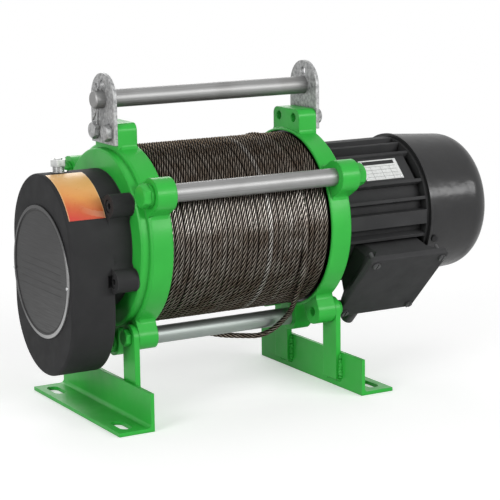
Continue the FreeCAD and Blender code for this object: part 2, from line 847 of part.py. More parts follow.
def cowl_form(rim_radius, end_radius, x_from, x_to, bend):
    form = revolve_x([(x_from, 0.0), (x_from, rim_radius), (x_to, end_radius), (x_to, 0.0)])
    edges = []
    for edge in form.Edges:
        box = edge.BoundBox
        if abs(box.XMin - x_to) < 0.01 and box.XLength < 0.01 and box.YLength > end_radius:
            edges.append(edge)
    return form.makeFillet(bend, edges)


def fan_cowl():
    bend = 27.0
    seat_end = 246.0
    outside = cowl_form(cowl_rim_radius - 0.6, cowl_end_radius, cowl_rim, cowl_end, bend)
    outside = outside.fuse(turn_x(cowl_rim_radius, cowl_rim, cowl_rim + 2.4))
    inner_rim = cowl_rim_radius - 1.2 - cowl_wall
    inner_end = cowl_end_radius - cowl_wall
    inside = cowl_form(inner_rim, inner_end, seat_end, cowl_end - cowl_wall, bend - cowl_wall)
    seat = turn_x(shield_radius, cowl_rim - 1.0, seat_end)
    shell = outside.cut([inside, seat, turn_x(8.0, cowl_end - 5.0, cowl_end + 1.0)])
    cuts = []
    for k in range(20):
        cuts.append(radial_bar(18.0 * k, 4.0, 20.0, 37.0, cowl_end - 3.0, cowl_end + 1.0))
        cuts.append(radial_bar(18.0 * k + 9.0, 5.0, 41.0, 56.0, cowl_end - 3.0, cowl_end + 1.0))
    for angle in cowl_screw_angles:
        start = outward(angle, 70.0, cowl_screw_x)
        cuts.append(Part.makeCylinder(2.3, 15.0, start, outward(angle, 1.0, 0.0) - V(0, 0, axis_height)))
    return shell.cut(cuts)


def cowl_screws():
    screws = []
    for angle in cowl_screw_angles:
        direction = outward(angle, 1.0, 0.0) - V(0, 0, axis_height)
        shank = Part.makeCylinder(2.0, 15.5, outward(angle, 67.0, cowl_screw_x), direction)
        head = Part.makeCylinder(3.8, 2.4, outward(angle, cowl_rim_radius - 0.85, cowl_screw_x), direction)
        screws.append(join([shank, head]))
    return Part.makeCompound(screws)


# Terminal box, built flat with its lid facing +Z, then turned to face front and down.


def to_box_place(shape):
    shape.rotate(V(0, 0, 0), V(1, 0, 0), 90.0 + box_angle)
    shape.translate(V(box_centre_x, 0, axis_height))
    return shape


def rectangle_wire(x_from, x_to, half_w, depth, corner):
    a = x_from + corner
    c = x_to - corner
    b = half_w - corner
    points = [V(x_to, -b, depth), V(x_to, b, depth), V(c, half_w, depth), V(a, half_w, depth),
              V(x_from, b, depth), V(x_from, -b, depth), V(a, -half_w, depth), V(c, -half_w, depth)]
    return Part.makePolygon(points + [points[0]])


gland_ends = {-0.4: 104.0, 27.6: 80.0}
gland_depth = 79.0
gland_seat = 47.0
lid_screw_x = 43.0
lid_screw_w = 45.5


def terminal_box():
    sections = [
        rectangle_wire(box_wall_left, box_wall_right, 12.5, 40.0, 3.0),
        rectangle_wire(box_wall_left, box_wall_right, 41.8, 86.0, 9.0),
        rectangle_wire(-box_half_x, box_half_x, box_half_w, box_rim, 4.0),
    ]
    hopper = Part.makeLoft(sections, True, True)
    inside = [
        rectangle_wire(box_wall_left + 4.0, box_wall_right - 4.0, 26.0, 70.0, 4.0),
        rectangle_wire(box_wall_left + 4.0, box_wall_right - 4.0, 37.5, 86.0, 8.0),
        rectangle_wire(-43.5, 43.5, 45.5, box_rim + 0.01, 3.0),
    ]
    hollow = Part.makeLoft(inside, True, True)
    pillars = []
    for x in (-lid_screw_x, lid_screw_x):
        for w in (-lid_screw_w, lid_screw_w):
            pillars.append(Part.makeCylinder(7.0, 13.0, V(x, w, box_rim - 12.0), V(0, 0, 1)))
    hollow = hollow.cut(pillars)
    bosses = []
    for x in gland_ends:
        bosses.append(Part.makeCylinder(12.5, gland_seat - 34.0, V(x, -34.0, gland_depth), V(0, -1, 0)))
    body = join([hopper] + bosses).cut(hollow)
    cuts = []
    for x in (-lid_screw_x, lid_screw_x):
        for w in (-lid_screw_w, lid_screw_w):
            cuts.append(Part.makeCylinder(2.0, 13.0, V(x, w, box_rim - 9.0), V(0, 0, 1)))
    for x in gland_ends:
        cuts.append(Part.makeCylinder(8.0, 60.0, V(x, 0, gland_depth), V(0, -1, 0)))
    body = to_box_place(body.cut(cuts))
    return body.cut(turn_x(frame_skin, 100.0, 260.0))


def lid_gasket():
    outline = rectangle_wire(-box_half_x, box_half_x, box_half_w, box_rim, 4.0)
    outer = Part.Face(outline).extrude(V(0, 0, lid_back - box_rim))
    inner = Part.Face(rectangle_wire(-43.0, 43.0, 45.0, box_rim - 1.0, 11.0)).extrude(V(0, 0, 6.0))
    holes = []
    for x in (-lid_screw_x, lid_screw_x):
        for w in (-lid_screw_w, lid_screw_w):
            holes.append(Part.makeCylinder(2.3, 6.0, V(x, w, box_rim - 1.0), V(0, 0, 1)))
    return to_box_place(outer.cut([inner] + holes))


def terminal_lid():
    thickness = lid_face - lid_back
    lid = Part.makeBox(2.0 * lid_half_x, 2.0 * lid_half_w, thickness, V(-lid_half_x, -lid_half_w, lid_back))
    corners = [e for e in lid.Edges if e.BoundBox.ZLength > thickness - 0.1]
    lid = lid.makeFillet(6.0, corners)
    rim = [e for e in lid.Edges if abs(e.BoundBox.ZMin - lid_face) < 0.01]
    lid = lid.makeFillet(1.8, rim)
    holes = []
    for x in (-lid_screw_x, lid_screw_x):
        for w in (-lid_screw_w, lid_screw_w):
            holes.append(Part.makeCylinder(2.3, 20.0, V(x, w, lid_back - 5.0), V(0, 0, 1)))
    return to_box_place(lid.cut(holes))


def lid_screws():
    screws = []
    for x in (-lid_screw_x, lid_screw_x):
        for w in (-lid_screw_w, lid_screw_w):
            shank = Part.makeCylinder(2.0, lid_face - box_rim + 8.0, V(x, w, box_rim - 8.0), V(0, 0, 1))
            head = Part.makeCylinder(4.2, 2.6, V(x, w, lid_face), V(0, 0, 1))
            slot = Part.makeBox(1.2, 10.0, 2.0, V(x - 0.6, w - 5.0, lid_face + 1.4))
            screws.append(to_box_place(shank.fuse(head).removeSplitter().cut(slot)))
    return Part.makeCompound(screws)


def cable_glands():
    glands = []
    for x, end in gland_ends.items():
        corner = 24.0 / math.sqrt(3.0)
        points = []
        for k in range(7):
            a = math.radians(60.0 * k)
            points.append(V(x + corner * math.cos(a), -gland_seat, gland_depth + corner * math.sin(a)))
        body = Part.Face(Part.makePolygon(points)).extrude(V(0, -9.0, 0))
        thread = Part.makeCylinder(8.0, 18.0, V(x, -gland_seat + 12.0, gland_depth), V(0, -1, 0))
        dome = Part.makeCone(12.0, 9.5, 17.0, V(x, -gland_seat - 9.0, gland_depth), V(0, -1, 0))
        sleeve_start = V(x, -gland_seat - 26.0, gland_depth)
        sleeve = Part.makeCylinder(8.0, end - gland_seat - 26.0, sleeve_start, V(0, -1, 0))
        glands.append(to_box_place(join([body, thread, dome, sleeve])))
    return Part.makeCompound(glands)


def terminal_block():
    base = Part.makeBox(44.0, 16.0, 12.0, V(-8.0, -19.0, 70.0))
    studs = [Part.makeCylinder(2.0, 6.0, V(-1.0 + 10.0 * k, -11.0, 82.0), V(0, 0, 1)) for k in range(4)]
    return to_box_place(join([base] + studs))


def capacitor():
    can = Part.makeCylinder(11.0, 46.0, V(-10.0, 13.0, 84.5), V(1, 0, 0))
    foot_pad = Part.makeBox(30.0, 12.0, 8.0, V(-2.0, 7.0, 70.0))
    return to_box_place(join([can, foot_pad]))


# Free end of the rope: straight runs joined by tangent arcs, round the bottom tie rod.

tail_points = [
    (65.5, -80.0, 126.0),
    (70.5, -59.5, 100.5),
    (81.0, -26.0, 77.5),
    (66.0, -4.0, 54.0),
    (41.0, 11.5, 54.2),
    (17.0, 15.5, 57.5),
    (-7.0, 16.0, 65.0),
    (-31.0, 16.0, 68.5),
]


def tail_wire():
    points = [V(*p) for p in tail_points]
    edges = []
    here = points[0]
    for k in range(1, len(points) - 1):
        before = points[k] - points[k - 1]
        after = points[k + 1] - points[k]
        half = before.getAngle(after) / 2.0
        shorter = min(before.Length, after.Length)
        step = 0.45 * shorter
        radius = step / math.tan(half)
        d_in = V(before).normalize()
        d_out = V(after).normalize()
        start = points[k] - d_in * step
        end = points[k] + d_out * step
        bisector = (d_out - d_in).normalize()
        centre = points[k] + bisector * (radius / math.cos(half))
        middle = centre - bisector * radius
        print("tail bend", k, "radius", round(radius, 1), "turn", round(math.degrees(2.0 * half), 1))
        edges.append(Part.LineSegment(here, start).toShape())
        edges.append(Part.Arc(start, middle, end).toShape())
        here = end
    edges.append(Part.LineSegment(here, points[-1]).toShape())
    return Part.Wire(edges)


def rope_tail():
    wire = tail_wire()
    first = V(*tail_points[1]) - V(*tail_points[0])
    ring = Part.Wire(Part.makeCircle(rope_diameter / 2.0, V(*tail_points[0]), first))
    tube = wire.makePipeShell([ring], True, True)
    plain = wire.Length * math.pi * rope_diameter ** 2 / 4.0
    print("tail length", round(wire.Length, 1), "volume ratio", round(tube.Volume / plain, 4))
    return tube


def rope_ferrule():
    last = V(*tail_points[-1])
    direction = (last - V(*tail_points[-2])).normalize()
    return Part.makeCylinder(4.6, 18.0, last, direction)


os.makedirs("parts", exist_ok=True)

save("left_end_plate", left_plate())
save("right_end_plate", right_plate())
save("tie_rods", tie_rods())
save("tie_rod_bolts", tie_rod_bolts())
save("spring_washers", spring_washers())
save("left_foot", foot(-1))
save("right_foot", foot(1))
save("left_uprights", uprights(-1))
save("right_uprights", uprights(1))
save("foot_bolts", foot_bolts())
save("hanger_ears", ears())
save("ear_bolts", ear_bolts())
save("hanger_bar", hanger_bar())
save("split_pins", split_pins())
save("gear_cover", gear_cover())
save("cover_gasket", cover_gasket())
save("cover_screws", cover_screws())
save("oil_plug", oil_plug())
save("cover_nameplate", cover_nameplate())
save("nameplate_rivets", nameplate_rivets())
save("cover_label", cover_label())
save("drum", drum())
save("drum_gear", drum_gear())
save("rope_winding", rope_winding())
save("drum_bearings", drum_bearings())
save("drum_seal", drum_seal())
save("layshaft", layshaft())
save("layshaft_wheel", layshaft_wheel())
save("gearbox_bearings", gearbox_bearings())
save("through_shaft", through_shaft())
save("rotor_core", rotor_core())
save("motor_bearings", motor_bearings())
save("stator_core", stator_core())
save("stator_windings", stator_windings())
save("front_shield", front_shield())
save("rear_shield", rear_shield())
save("motor_studs", motor_studs())
save("motor_frame", motor_frame())
save("motor_nameplate", motor_nameplate())
save("brake_magnet", brake_magnet())
save("brake_disc", brake_disc())
save("cooling_fan", cooling_fan())
save("fan_cowl", fan_cowl())
save("cowl_screws", cowl_screws())
save("terminal_box", terminal_box())
save("lid_gasket", lid_gasket())
save("terminal_lid", terminal_lid())
save("lid_screws", lid_screws())
save("cable_glands", cable_glands())
save("terminal_block", terminal_block())
save("capacitor", capacitor())
save("rope_tail", rope_tail())
save("rope_ferrule", rope_ferrule())
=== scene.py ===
import json
import math

import bpy
import numpy as np
from mathutils import Matrix, Vector


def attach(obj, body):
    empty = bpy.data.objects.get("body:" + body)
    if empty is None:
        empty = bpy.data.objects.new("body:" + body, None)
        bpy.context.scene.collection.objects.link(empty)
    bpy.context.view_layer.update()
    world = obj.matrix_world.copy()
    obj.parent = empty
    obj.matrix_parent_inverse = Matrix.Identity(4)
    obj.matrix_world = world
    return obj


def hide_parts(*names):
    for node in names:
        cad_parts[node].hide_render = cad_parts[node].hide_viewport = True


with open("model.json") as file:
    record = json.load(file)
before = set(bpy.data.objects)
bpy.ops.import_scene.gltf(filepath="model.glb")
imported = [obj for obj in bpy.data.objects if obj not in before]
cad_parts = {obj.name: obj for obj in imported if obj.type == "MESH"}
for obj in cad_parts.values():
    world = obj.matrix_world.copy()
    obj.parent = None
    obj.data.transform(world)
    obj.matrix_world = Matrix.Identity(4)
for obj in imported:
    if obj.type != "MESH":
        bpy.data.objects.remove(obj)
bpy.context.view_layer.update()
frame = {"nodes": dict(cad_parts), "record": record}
record = frame["record"]
nodes = frame["nodes"]
scene = bpy.context.scene
print("frame loaded,", len(nodes), "nodes")

drumAxis = 0.185  # height of the drum and motor axis


# camera, matched to the photograph's view

cameraView = {
    "place": (-0.93482, -1.72129, 0.53393),
    "yaw": 29.779, "pitch": 10.896, "roll": -0.765,  # degrees
    "lens": 132.18, "sensor": 36.0, "farClip": 50.0,
}


def placeCamera(view):
    yaw, pitch, roll = (math.radians(view[k]) for k in ("yaw", "pitch", "roll"))
    level = math.cos(pitch)
    ahead = Vector((math.sin(yaw) * level, math.cos(yaw) * level, -math.sin(pitch)))
    right = Vector((math.cos(yaw), -math.sin(yaw), 0.0))
    up = right.cross(ahead)
    turnedRight = right * math.cos(roll) + up * math.sin(roll)
    turnedUp = up * math.cos(roll) - right * math.sin(roll)
    data = bpy.data.cameras.new("photoCamera")
    data.lens = view["lens"]
    data.sensor_width = view["sensor"]
    data.clip_end = view["farClip"]
    cam = bpy.data.objects.new("photoCamera", data)
    turn = Matrix((turnedRight, turnedUp, -ahead)).transposed().to_4x4()
    cam.matrix_world = Matrix.Translation(view["place"]) @ turn
    scene.collection.objects.link(cam)
    scene.camera = cam


placeCamera(cameraView)
print("camera set")


# small helpers for material nodes

def plug(tree, socket, value):
    if isinstance(value, bpy.types.NodeSocket):
        tree.links.new(value, socket)
    elif hasattr(value, "__len__") and socket.type == "RGBA" and len(value) == 3:
        socket.default_value = (*value, 1.0)
    else:
        socket.default_value = value


def addNode(tree, kind, inputs=None, **settings):
    node = tree.nodes.new(kind)
    for key, value in settings.items():
        setattr(node, key, value)
    for key, value in (inputs or {}).items():
        plug(tree, node.inputs[key], value)
    return node


def startMaterial(name, **sockets):
    material = bpy.data.materials.new(name)
    material.use_nodes = True
    tree = material.node_tree
    tree.nodes.clear()
    out = tree.nodes.new("ShaderNodeOutputMaterial")
    shader = tree.nodes.new("ShaderNodeBsdfPrincipled")
    tree.links.new(shader.outputs[0], out.inputs[0])
    for key, value in sockets.items():
        plug(tree, shader.inputs[key.replace("_", " ")], value)
    return material, tree, shader


def feed(tree, shader, socket, value):
    tree.links.new(value, shader.inputs[socket])


def objectCoords(tree, stretch=None):
    coords = addNode(tree, "ShaderNodeTexCoord").outputs["Object"]
    if stretch is None:
        return coords
    return addNode(tree, "ShaderNodeMapping", {"Vector": coords, "Scale": stretch}).outputs["Vector"]


def splitCoords(tree):
    split = addNode(tree, "ShaderNodeSeparateXYZ", {"Vector": objectCoords(tree)})
    return split.outputs["X"], split.outputs["Y"], split.outputs["Z"]


def noise(tree, scale, detail, stretch=None, rough=0.5):
    spec = {"Vector": objectCoords(tree, stretch), "Scale": scale, "Detail": detail, "Roughness": rough}
    return addNode(tree, "ShaderNodeTexNoise", spec).outputs["Fac"]


def namedValue(tree, name):
    return addNode(tree, "ShaderNodeAttribute", attribute_name=name).outputs["Fac"]


def ramp(tree, fac, stops):
    node = addNode(tree, "ShaderNodeValToRGB", {"Fac": fac})
    while len(node.color_ramp.elements) < len(stops):
        node.color_ramp.elements.new(0.5)
    for element, (place, colour) in zip(node.color_ramp.elements, stops):
        element.position = place
        element.color = (*colour, 1.0)
    return node.outputs["Color"]


def span(tree, value, low, high, newLow=0.0, newHigh=1.0):
    spec = {"Value": value, "From Min": low, "From Max": high, "To Min": newLow, "To Max": newHigh}
    return addNode(tree, "ShaderNodeMapRange", spec).outputs["Result"]


def reckon(tree, how, a, b=0.0):
    node = addNode(tree, "ShaderNodeMath", operation=how)
    plug(tree, node.inputs[0], a)
    plug(tree, node.inputs[1], b)
    return node.outputs[0]


def mixColour(tree, factor, a, b):
    node = addNode(tree, "ShaderNodeMix", data_type="RGBA", blend_type="MIX")
    plug(tree, node.inputs[0], factor)
    plug(tree, node.inputs[6], a)
    plug(tree, node.inputs[7], b)
    return node.outputs[2]


def away(tree, value, middle):
    return reckon(tree, "ABSOLUTE", reckon(tree, "SUBTRACT", value, middle))


def band(tree, value, middle, half):
    return reckon(tree, "LESS_THAN", away(tree, value, middle), half)


def anyOf(tree, masks):
    total = masks[0]
    for mask in masks[1:]:
        total = reckon(tree, "MAXIMUM", total, mask)
    return total


def radiusFromAxis(tree, height):
    y, z = splitCoords(tree)[1:]
    z = reckon(tree, "SUBTRACT", z, height)
    squares = reckon(tree, "ADD", reckon(tree, "MULTIPLY", y, y), reckon(tree, "MULTIPLY", z, z))
    return reckon(tree, "SQRT", squares)


def edgeNormal(tree, radius):
    return addNode(tree, "ShaderNodeBevel", {"Radius": radius}, samples=4).outputs["Normal"]


def edgeMask(tree, radius, most=1.0):
    flat, sharp = 0.99, 0.86  # cosines between the rounded and the true normal
    soft = edgeNormal(tree, radius)
    hard = addNode(tree, "ShaderNodeNewGeometry").outputs["Normal"]
    dot = addNode(tree, "ShaderNodeVectorMath", {0: soft, 1: hard}, operation="DOT_PRODUCT")
    return span(tree, dot.outputs["Value"], flat, sharp, 0.0, most)


# lighter patches along edges: partly paint wear, partly painted highlight
def wornAndHighlitEdges(tree, radius, scale, patches, amounts):
    patchy = span(tree, noise(tree, scale, 3.0), *patches, *amounts)
    return reckon(tree, "MULTIPLY", edgeMask(tree, radius), patchy)


# darkens corners and recesses found by ambient occlusion: partly grime, partly painted shade
def grimeAndPaintedShade(tree, body, grimeAndShade, reach, openFrom, least):
    shut = 0.3  # openness of a corner that gets the most grime and painted shade
    opening = addNode(tree, "ShaderNodeAmbientOcclusion", {"Distance": reach}, samples=6).outputs["AO"]
    return mixColour(tree, span(tree, opening, shut, openFrom, least, 1.0), grimeAndShade, body)


def bumps(tree, shader, layers, normal=None):
    for height, strength, distance in layers:
        spec = {"Height": height, "Strength": strength, "Distance": distance}
        if normal is not None:
            spec["Normal"] = normal
        normal = addNode(tree, "ShaderNodeBump", spec).outputs["Normal"]
    feed(tree, shader, "Normal", normal)


def shaded(colour, amount):
    return tuple(c * amount for c in colour)


# green paint on castings, feet and uprights

greenPaint = {
    "deep": (0.020, 0.34, 0.039), "full": (0.034, 0.455, 0.053), "leastFull": 0.62,
    # lighter green on edges: partly wear, partly painted highlight
    "worn": (0.058, 0.53, 0.085), "wearAndHighlightReach": 0.0011,
    # grime and painted shade in corners
    "grimeAndShade": (0.006, 0.09, 0.012), "grimeAndShadeReach": 0.005,
    "specular": 0.22, "coat": 0.06, "coatRoughness": 0.2, "roughness": (0.28, 0.46),
    "driftScale": 22.0, "wearAndHighlightScale": 90.0, "sheenScale": 60.0, "grainScale": 210.0, "peelScale": 1100.0,
    "grainDepth": 0.0006, "peelBump": (0.12, 0.00012),  # strength and depth
}


def makeGreenPaint(name, castGrain, edgeRadius):
    paint = greenPaint
    material, tree, shader = startMaterial(
        name, Specular_IOR_Level=paint["specular"],
        Coat_Weight=paint["coat"], Coat_Roughness=paint["coatRoughness"])
    drift = span(tree, noise(tree, paint["driftScale"], 5.0), 0.35, 0.65, paint["leastFull"], 1.0)
    body = mixColour(tree, drift, paint["deep"], paint["full"])
    wearAndHighlight = wornAndHighlitEdges(tree, paint["wearAndHighlightReach"], paint["wearAndHighlightScale"], (0.4, 0.7), (0.15, 0.7))
    body = mixColour(tree, wearAndHighlight, body, paint["worn"])
    body = grimeAndPaintedShade(tree, body, paint["grimeAndShade"], paint["grimeAndShadeReach"], 0.75, 0.6)
    feed(tree, shader, "Base Color", body)
    sheen = noise(tree, paint["sheenScale"], 6.0)
    feed(tree, shader, "Roughness", span(tree, sheen, 0.3, 0.7, *paint["roughness"]))
    grain = noise(tree, paint["grainScale"], 5.0, rough=0.6)
    peel = noise(tree, paint["peelScale"], 2.0)
    layers = [(grain, castGrain, paint["grainDepth"]), (peel, *paint["peelBump"])]
    bumps(tree, shader, layers, edgeNormal(tree, edgeRadius))
    return material


# charcoal paint on gear cover, motor and terminal box

charcoal = {
    "deep": (0.026, 0.026, 0.027), "full": (0.042, 0.042, 0.043), "leastFull": 0.5,
    "dust": (0.062, 0.061, 0.060), "dustMost": 0.35,
    # lighter grey on edges: partly wear, partly painted highlight
    "worn": (0.11, 0.11, 0.109), "wearAndHighlightReach": 0.0010,
    # grime and painted shade in corners
    "grimeAndShade": (0.006, 0.006, 0.006), "grimeAndShadeReach": 0.008,
    "specular": 0.03, "coatRoughness": 0.23, "edgeRadius": 0.0008,
    "driftScale": 30.0, "dustScale": 520.0, "wearAndHighlightScale": 120.0, "sheenScale": 80.0,
    "castScale": 260.0, "castDepth": 0.0004, "powderScale": 900.0, "powderBump": (0.15, 0.0001),
    "waveScale": 26.0, "wave": 0.3, "waveDepth": 0.005,  # unevenness of the clear coat
}


def makeCharcoal(name, castGrain, rough, coat, shade=1.0):
    paint = charcoal
    material, tree, shader = startMaterial(
        name, Specular_IOR_Level=paint["specular"], Coat_Weight=coat, Coat_Roughness=paint["coatRoughness"])
    deep, full, dust = (shaded(paint[k], shade) for k in ("deep", "full", "dust"))
    drift = span(tree, noise(tree, paint["driftScale"], 5.0), 0.3, 0.7, paint["leastFull"], 1.0)
    body = mixColour(tree, drift, deep, full)
    specks = span(tree, noise(tree, paint["dustScale"], 3.0), 0.66, 0.8, 0.0, paint["dustMost"])
    body = mixColour(tree, specks, body, dust)
    wearAndHighlight = wornAndHighlitEdges(tree, paint["wearAndHighlightReach"], paint["wearAndHighlightScale"], (0.4, 0.75), (0.1, 0.7))
    body = mixColour(tree, wearAndHighlight, body, paint["worn"])
    body = grimeAndPaintedShade(tree, body, paint["grimeAndShade"], paint["grimeAndShadeReach"], 0.8, 0.4)
    feed(tree, shader, "Base Color", body)
    sheen = noise(tree, paint["sheenScale"], 5.0)
    feed(tree, shader, "Roughness", span(tree, sheen, 0.3, 0.7, rough - 0.06, rough + 0.08))
    cast = noise(tree, paint["castScale"], 5.0)
    powder = noise(tree, paint["powderScale"], 2.0)
    layers = [(cast, castGrain, paint["castDepth"]), (powder, *paint["powderBump"])]
    bumps(tree, shader, layers, edgeNormal(tree, paint["edgeRadius"]))
    if coat > 0.0:
        height = noise(tree, paint["waveScale"], 3.0)
        wavy = {"Height": height, "Strength": paint["wave"], "Distance": paint["waveDepth"]}
        feed(tree, shader, "Coat Normal", addNode(tree, "ShaderNodeBump", wavy).outputs["Normal"])
    return material


# drawn steel of tie rods and hanger bar

drawnBar = {
    "pale": (0.31, 0.31, 0.307), "lineShade": 0.72, "lineStretch": (14.0, 1400.0, 1400.0),
    "streakBump": (0.3, 0.0001), "roughness": (0.42, 0.56),
    "stain": (0.16, 0.155, 0.15), "stainScale": 26.0, "stainMost": 0.4,
    "paintedReflection": (0.34, 0.39, 0.365), "paintedReflectionHeights": (0.09, 0.12), "paintedReflectionMost": 0.6,  # painted greenish reflection on the lowest rod
    "edgeRadius": 0.0006,
}


def makeDrawnSteel(name):
    bar = drawnBar
    material, tree, shader = startMaterial(name, Metallic=0.8)
    lines = noise(tree, 1.0, 6.0, bar["lineStretch"])
    tone = mixColour(tree, span(tree, lines, 0.3, 0.7), shaded(bar["pale"], bar["lineShade"]), bar["pale"])
    stain = span(tree, noise(tree, bar["stainScale"], 4.0), 0.52, 0.75, 0.0, bar["stainMost"])
    tone = mixColour(tree, stain, tone, bar["stain"])
    # lighter, greenish tone on the lowest rod: painted reflection
    paintedReflection = span(tree, splitCoords(tree)[2], *bar["paintedReflectionHeights"], bar["paintedReflectionMost"], 0.0)
    feed(tree, shader, "Base Color", mixColour(tree, paintedReflection, tone, bar["paintedReflection"]))
    feed(tree, shader, "Roughness", span(tree, lines, 0.25, 0.75, *bar["roughness"]))
    bumps(tree, shader, [(lines, *bar["streakBump"])], edgeNormal(tree, bar["edgeRadius"]))
    return material


# plated fasteners and die-cast parts

plated = {
    "cloudScale": 180.0, "cloudShade": 0.7,
    "paintedEdgeHighlight": (0.85, 0.85, 0.84), "paintedEdgeHighlightReach": 0.0007, "paintedEdgeHighlightMost": 0.5,
    # grime and painted shade in corners
    "grimeAndShade": (0.06, 0.055, 0.05), "grimeAndShadeReach": 0.004,
    "pitScale": 600.0, "pitBump": (0.15, 0.00015), "edgeRadius": 0.0005,
}


def makePlated(name, pale, rough):
    material, tree, shader = startMaterial(name, Metallic=1.0)
    cloud = noise(tree, plated["cloudScale"], 5.0)
    tone = mixColour(tree, span(tree, cloud, 0.3, 0.7), shaded(pale, plated["cloudShade"]), pale)
    # lighter metal along the edges: painted highlight
    tone = mixColour(tree, edgeMask(tree, plated["paintedEdgeHighlightReach"], plated["paintedEdgeHighlightMost"]), tone, plated["paintedEdgeHighlight"])
    tone = grimeAndPaintedShade(tree, tone, plated["grimeAndShade"], plated["grimeAndShadeReach"], 0.8, 0.3)
    feed(tree, shader, "Base Color", tone)
    feed(tree, shader, "Roughness", span(tree, cloud, 0.25, 0.75, rough - 0.08, rough + 0.12))
    pits = noise(tree, plated["pitScale"], 4.0)
    bumps(tree, shader, [(pits, *plated["pitBump"])], edgeNormal(tree, plated["edgeRadius"]))
    return material


# hot-dip galvanised ears, their bolts and the split pins

galvanised = {
    "dull": (0.13, 0.132, 0.134), "pale": (0.48, 0.484, 0.484), "blotchScale": 250.0,
    "roughness": (0.38, 0.6),
    "spangle": (0.50, 0.504, 0.504), "spangleScale": 230.0, "spangleMost": 0.35,
    "paintedEdgeHighlight": (0.52, 0.52, 0.52), "paintedEdgeHighlightReach": 0.0010, "paintedEdgeHighlightMost": 0.2,
    # grime and painted shade in corners
    "grimeAndShade": (0.05, 0.05, 0.05), "grimeAndShadeReach": 0.005,
    "lumpScale": 240.0, "lumpBump": (0.5, 0.0005), "edgeRadius": 0.0007,
}


def makeGalvanised(name):
    coat = galvanised
    material, tree, shader = startMaterial(name, Metallic=0.4)
    blotch = noise(tree, coat["blotchScale"], 6.0, rough=0.7)
    tone = mixColour(tree, span(tree, blotch, 0.38, 0.62), coat["dull"], coat["pale"])
    cells = {"Vector": objectCoords(tree), "Scale": coat["spangleScale"], "Randomness": 1.0}
    cells = addNode(tree, "ShaderNodeTexVoronoi", cells).outputs["Color"]
    tone = mixColour(tree, span(tree, cells, 0.0, 1.0, 0.0, coat["spangleMost"]), tone, coat["spangle"])
    # lighter metal along the edges: painted highlight
    tone = mixColour(tree, edgeMask(tree, coat["paintedEdgeHighlightReach"], coat["paintedEdgeHighlightMost"]), tone, coat["paintedEdgeHighlight"])
    tone = grimeAndPaintedShade(tree, tone, coat["grimeAndShade"], coat["grimeAndShadeReach"], 0.8, 0.3)
    feed(tree, shader, "Base Color", tone)
    feed(tree, shader, "Roughness", span(tree, blotch, 0.3, 0.7, *coat["roughness"]))
    lumps = noise(tree, coat["lumpScale"], 6.0, rough=0.65)
    bumps(tree, shader, [(lumps, *coat["lumpBump"])], edgeNormal(tree, coat["edgeRadius"]))
    return material


# greasy wire of the rope; on the winding, a painted highlight band and painted shade at top and bottom are
# placed by height above the drum axis

ropeFinish = {
    "dull": (0.29, 0.253, 0.214), "clean": (0.82, 0.80, 0.76), "groove": (0.007, 0.005, 0.004),
    "tint": (0.3, 0.28, 0.25), "roughness": (0.5, 0.34), "anisotropy": 0.85, "anisotropyTurn": 0.25,
    "smear": (0.13, 0.092, 0.065), "smearScale": 70.0, "smearMost": 0.75, "smearLeft": 0.2,
    "wireScale": 900.0, "wireShare": 0.5, "wireBump": (0.06, 0.0002), "wornFrom": 1.02, "wornTo": 1.24,
    "gapShadeAndGrease": (0.008, 0.006, 0.005), "gapShadeAndGreaseRadii": (0.0893, 0.0935),
    "paintedHighlight": (0.64, 0.61, 0.57), "paintedHighlightAt": 0.027, "paintedHighlightFade": (0.022, 0.010), "paintedHighlightMost": 0.3,
    "paintedShade": (0.085, 0.062, 0.043),
    "upper": (0.040, 0.066), "upperMost": 0.46, "lower": (-0.024, -0.060), "lowerMost": 0.3,
}


# painted highlight band and painted shade on the winding, placed by height
def paintWindingLightAndShade(tree, bright):
    rope = ropeFinish
    lifted = reckon(tree, "SUBTRACT", splitCoords(tree)[2], drumAxis)
    # a lighter band a little above the axis: painted highlight
    paintedHighlight = span(tree, away(tree, lifted, rope["paintedHighlightAt"]), *rope["paintedHighlightFade"], 0.0, rope["paintedHighlightMost"])
    bright = mixColour(tree, paintedHighlight, bright, rope["paintedHighlight"])
    # darker toward the top and the bottom of the drum: painted shade
    upper = span(tree, lifted, *rope["upper"], 0.0, rope["upperMost"])
    lower = span(tree, lifted, *rope["lower"], 0.0, rope["lowerMost"])
    return mixColour(tree, anyOf(tree, [upper, lower]), bright, rope["paintedShade"])


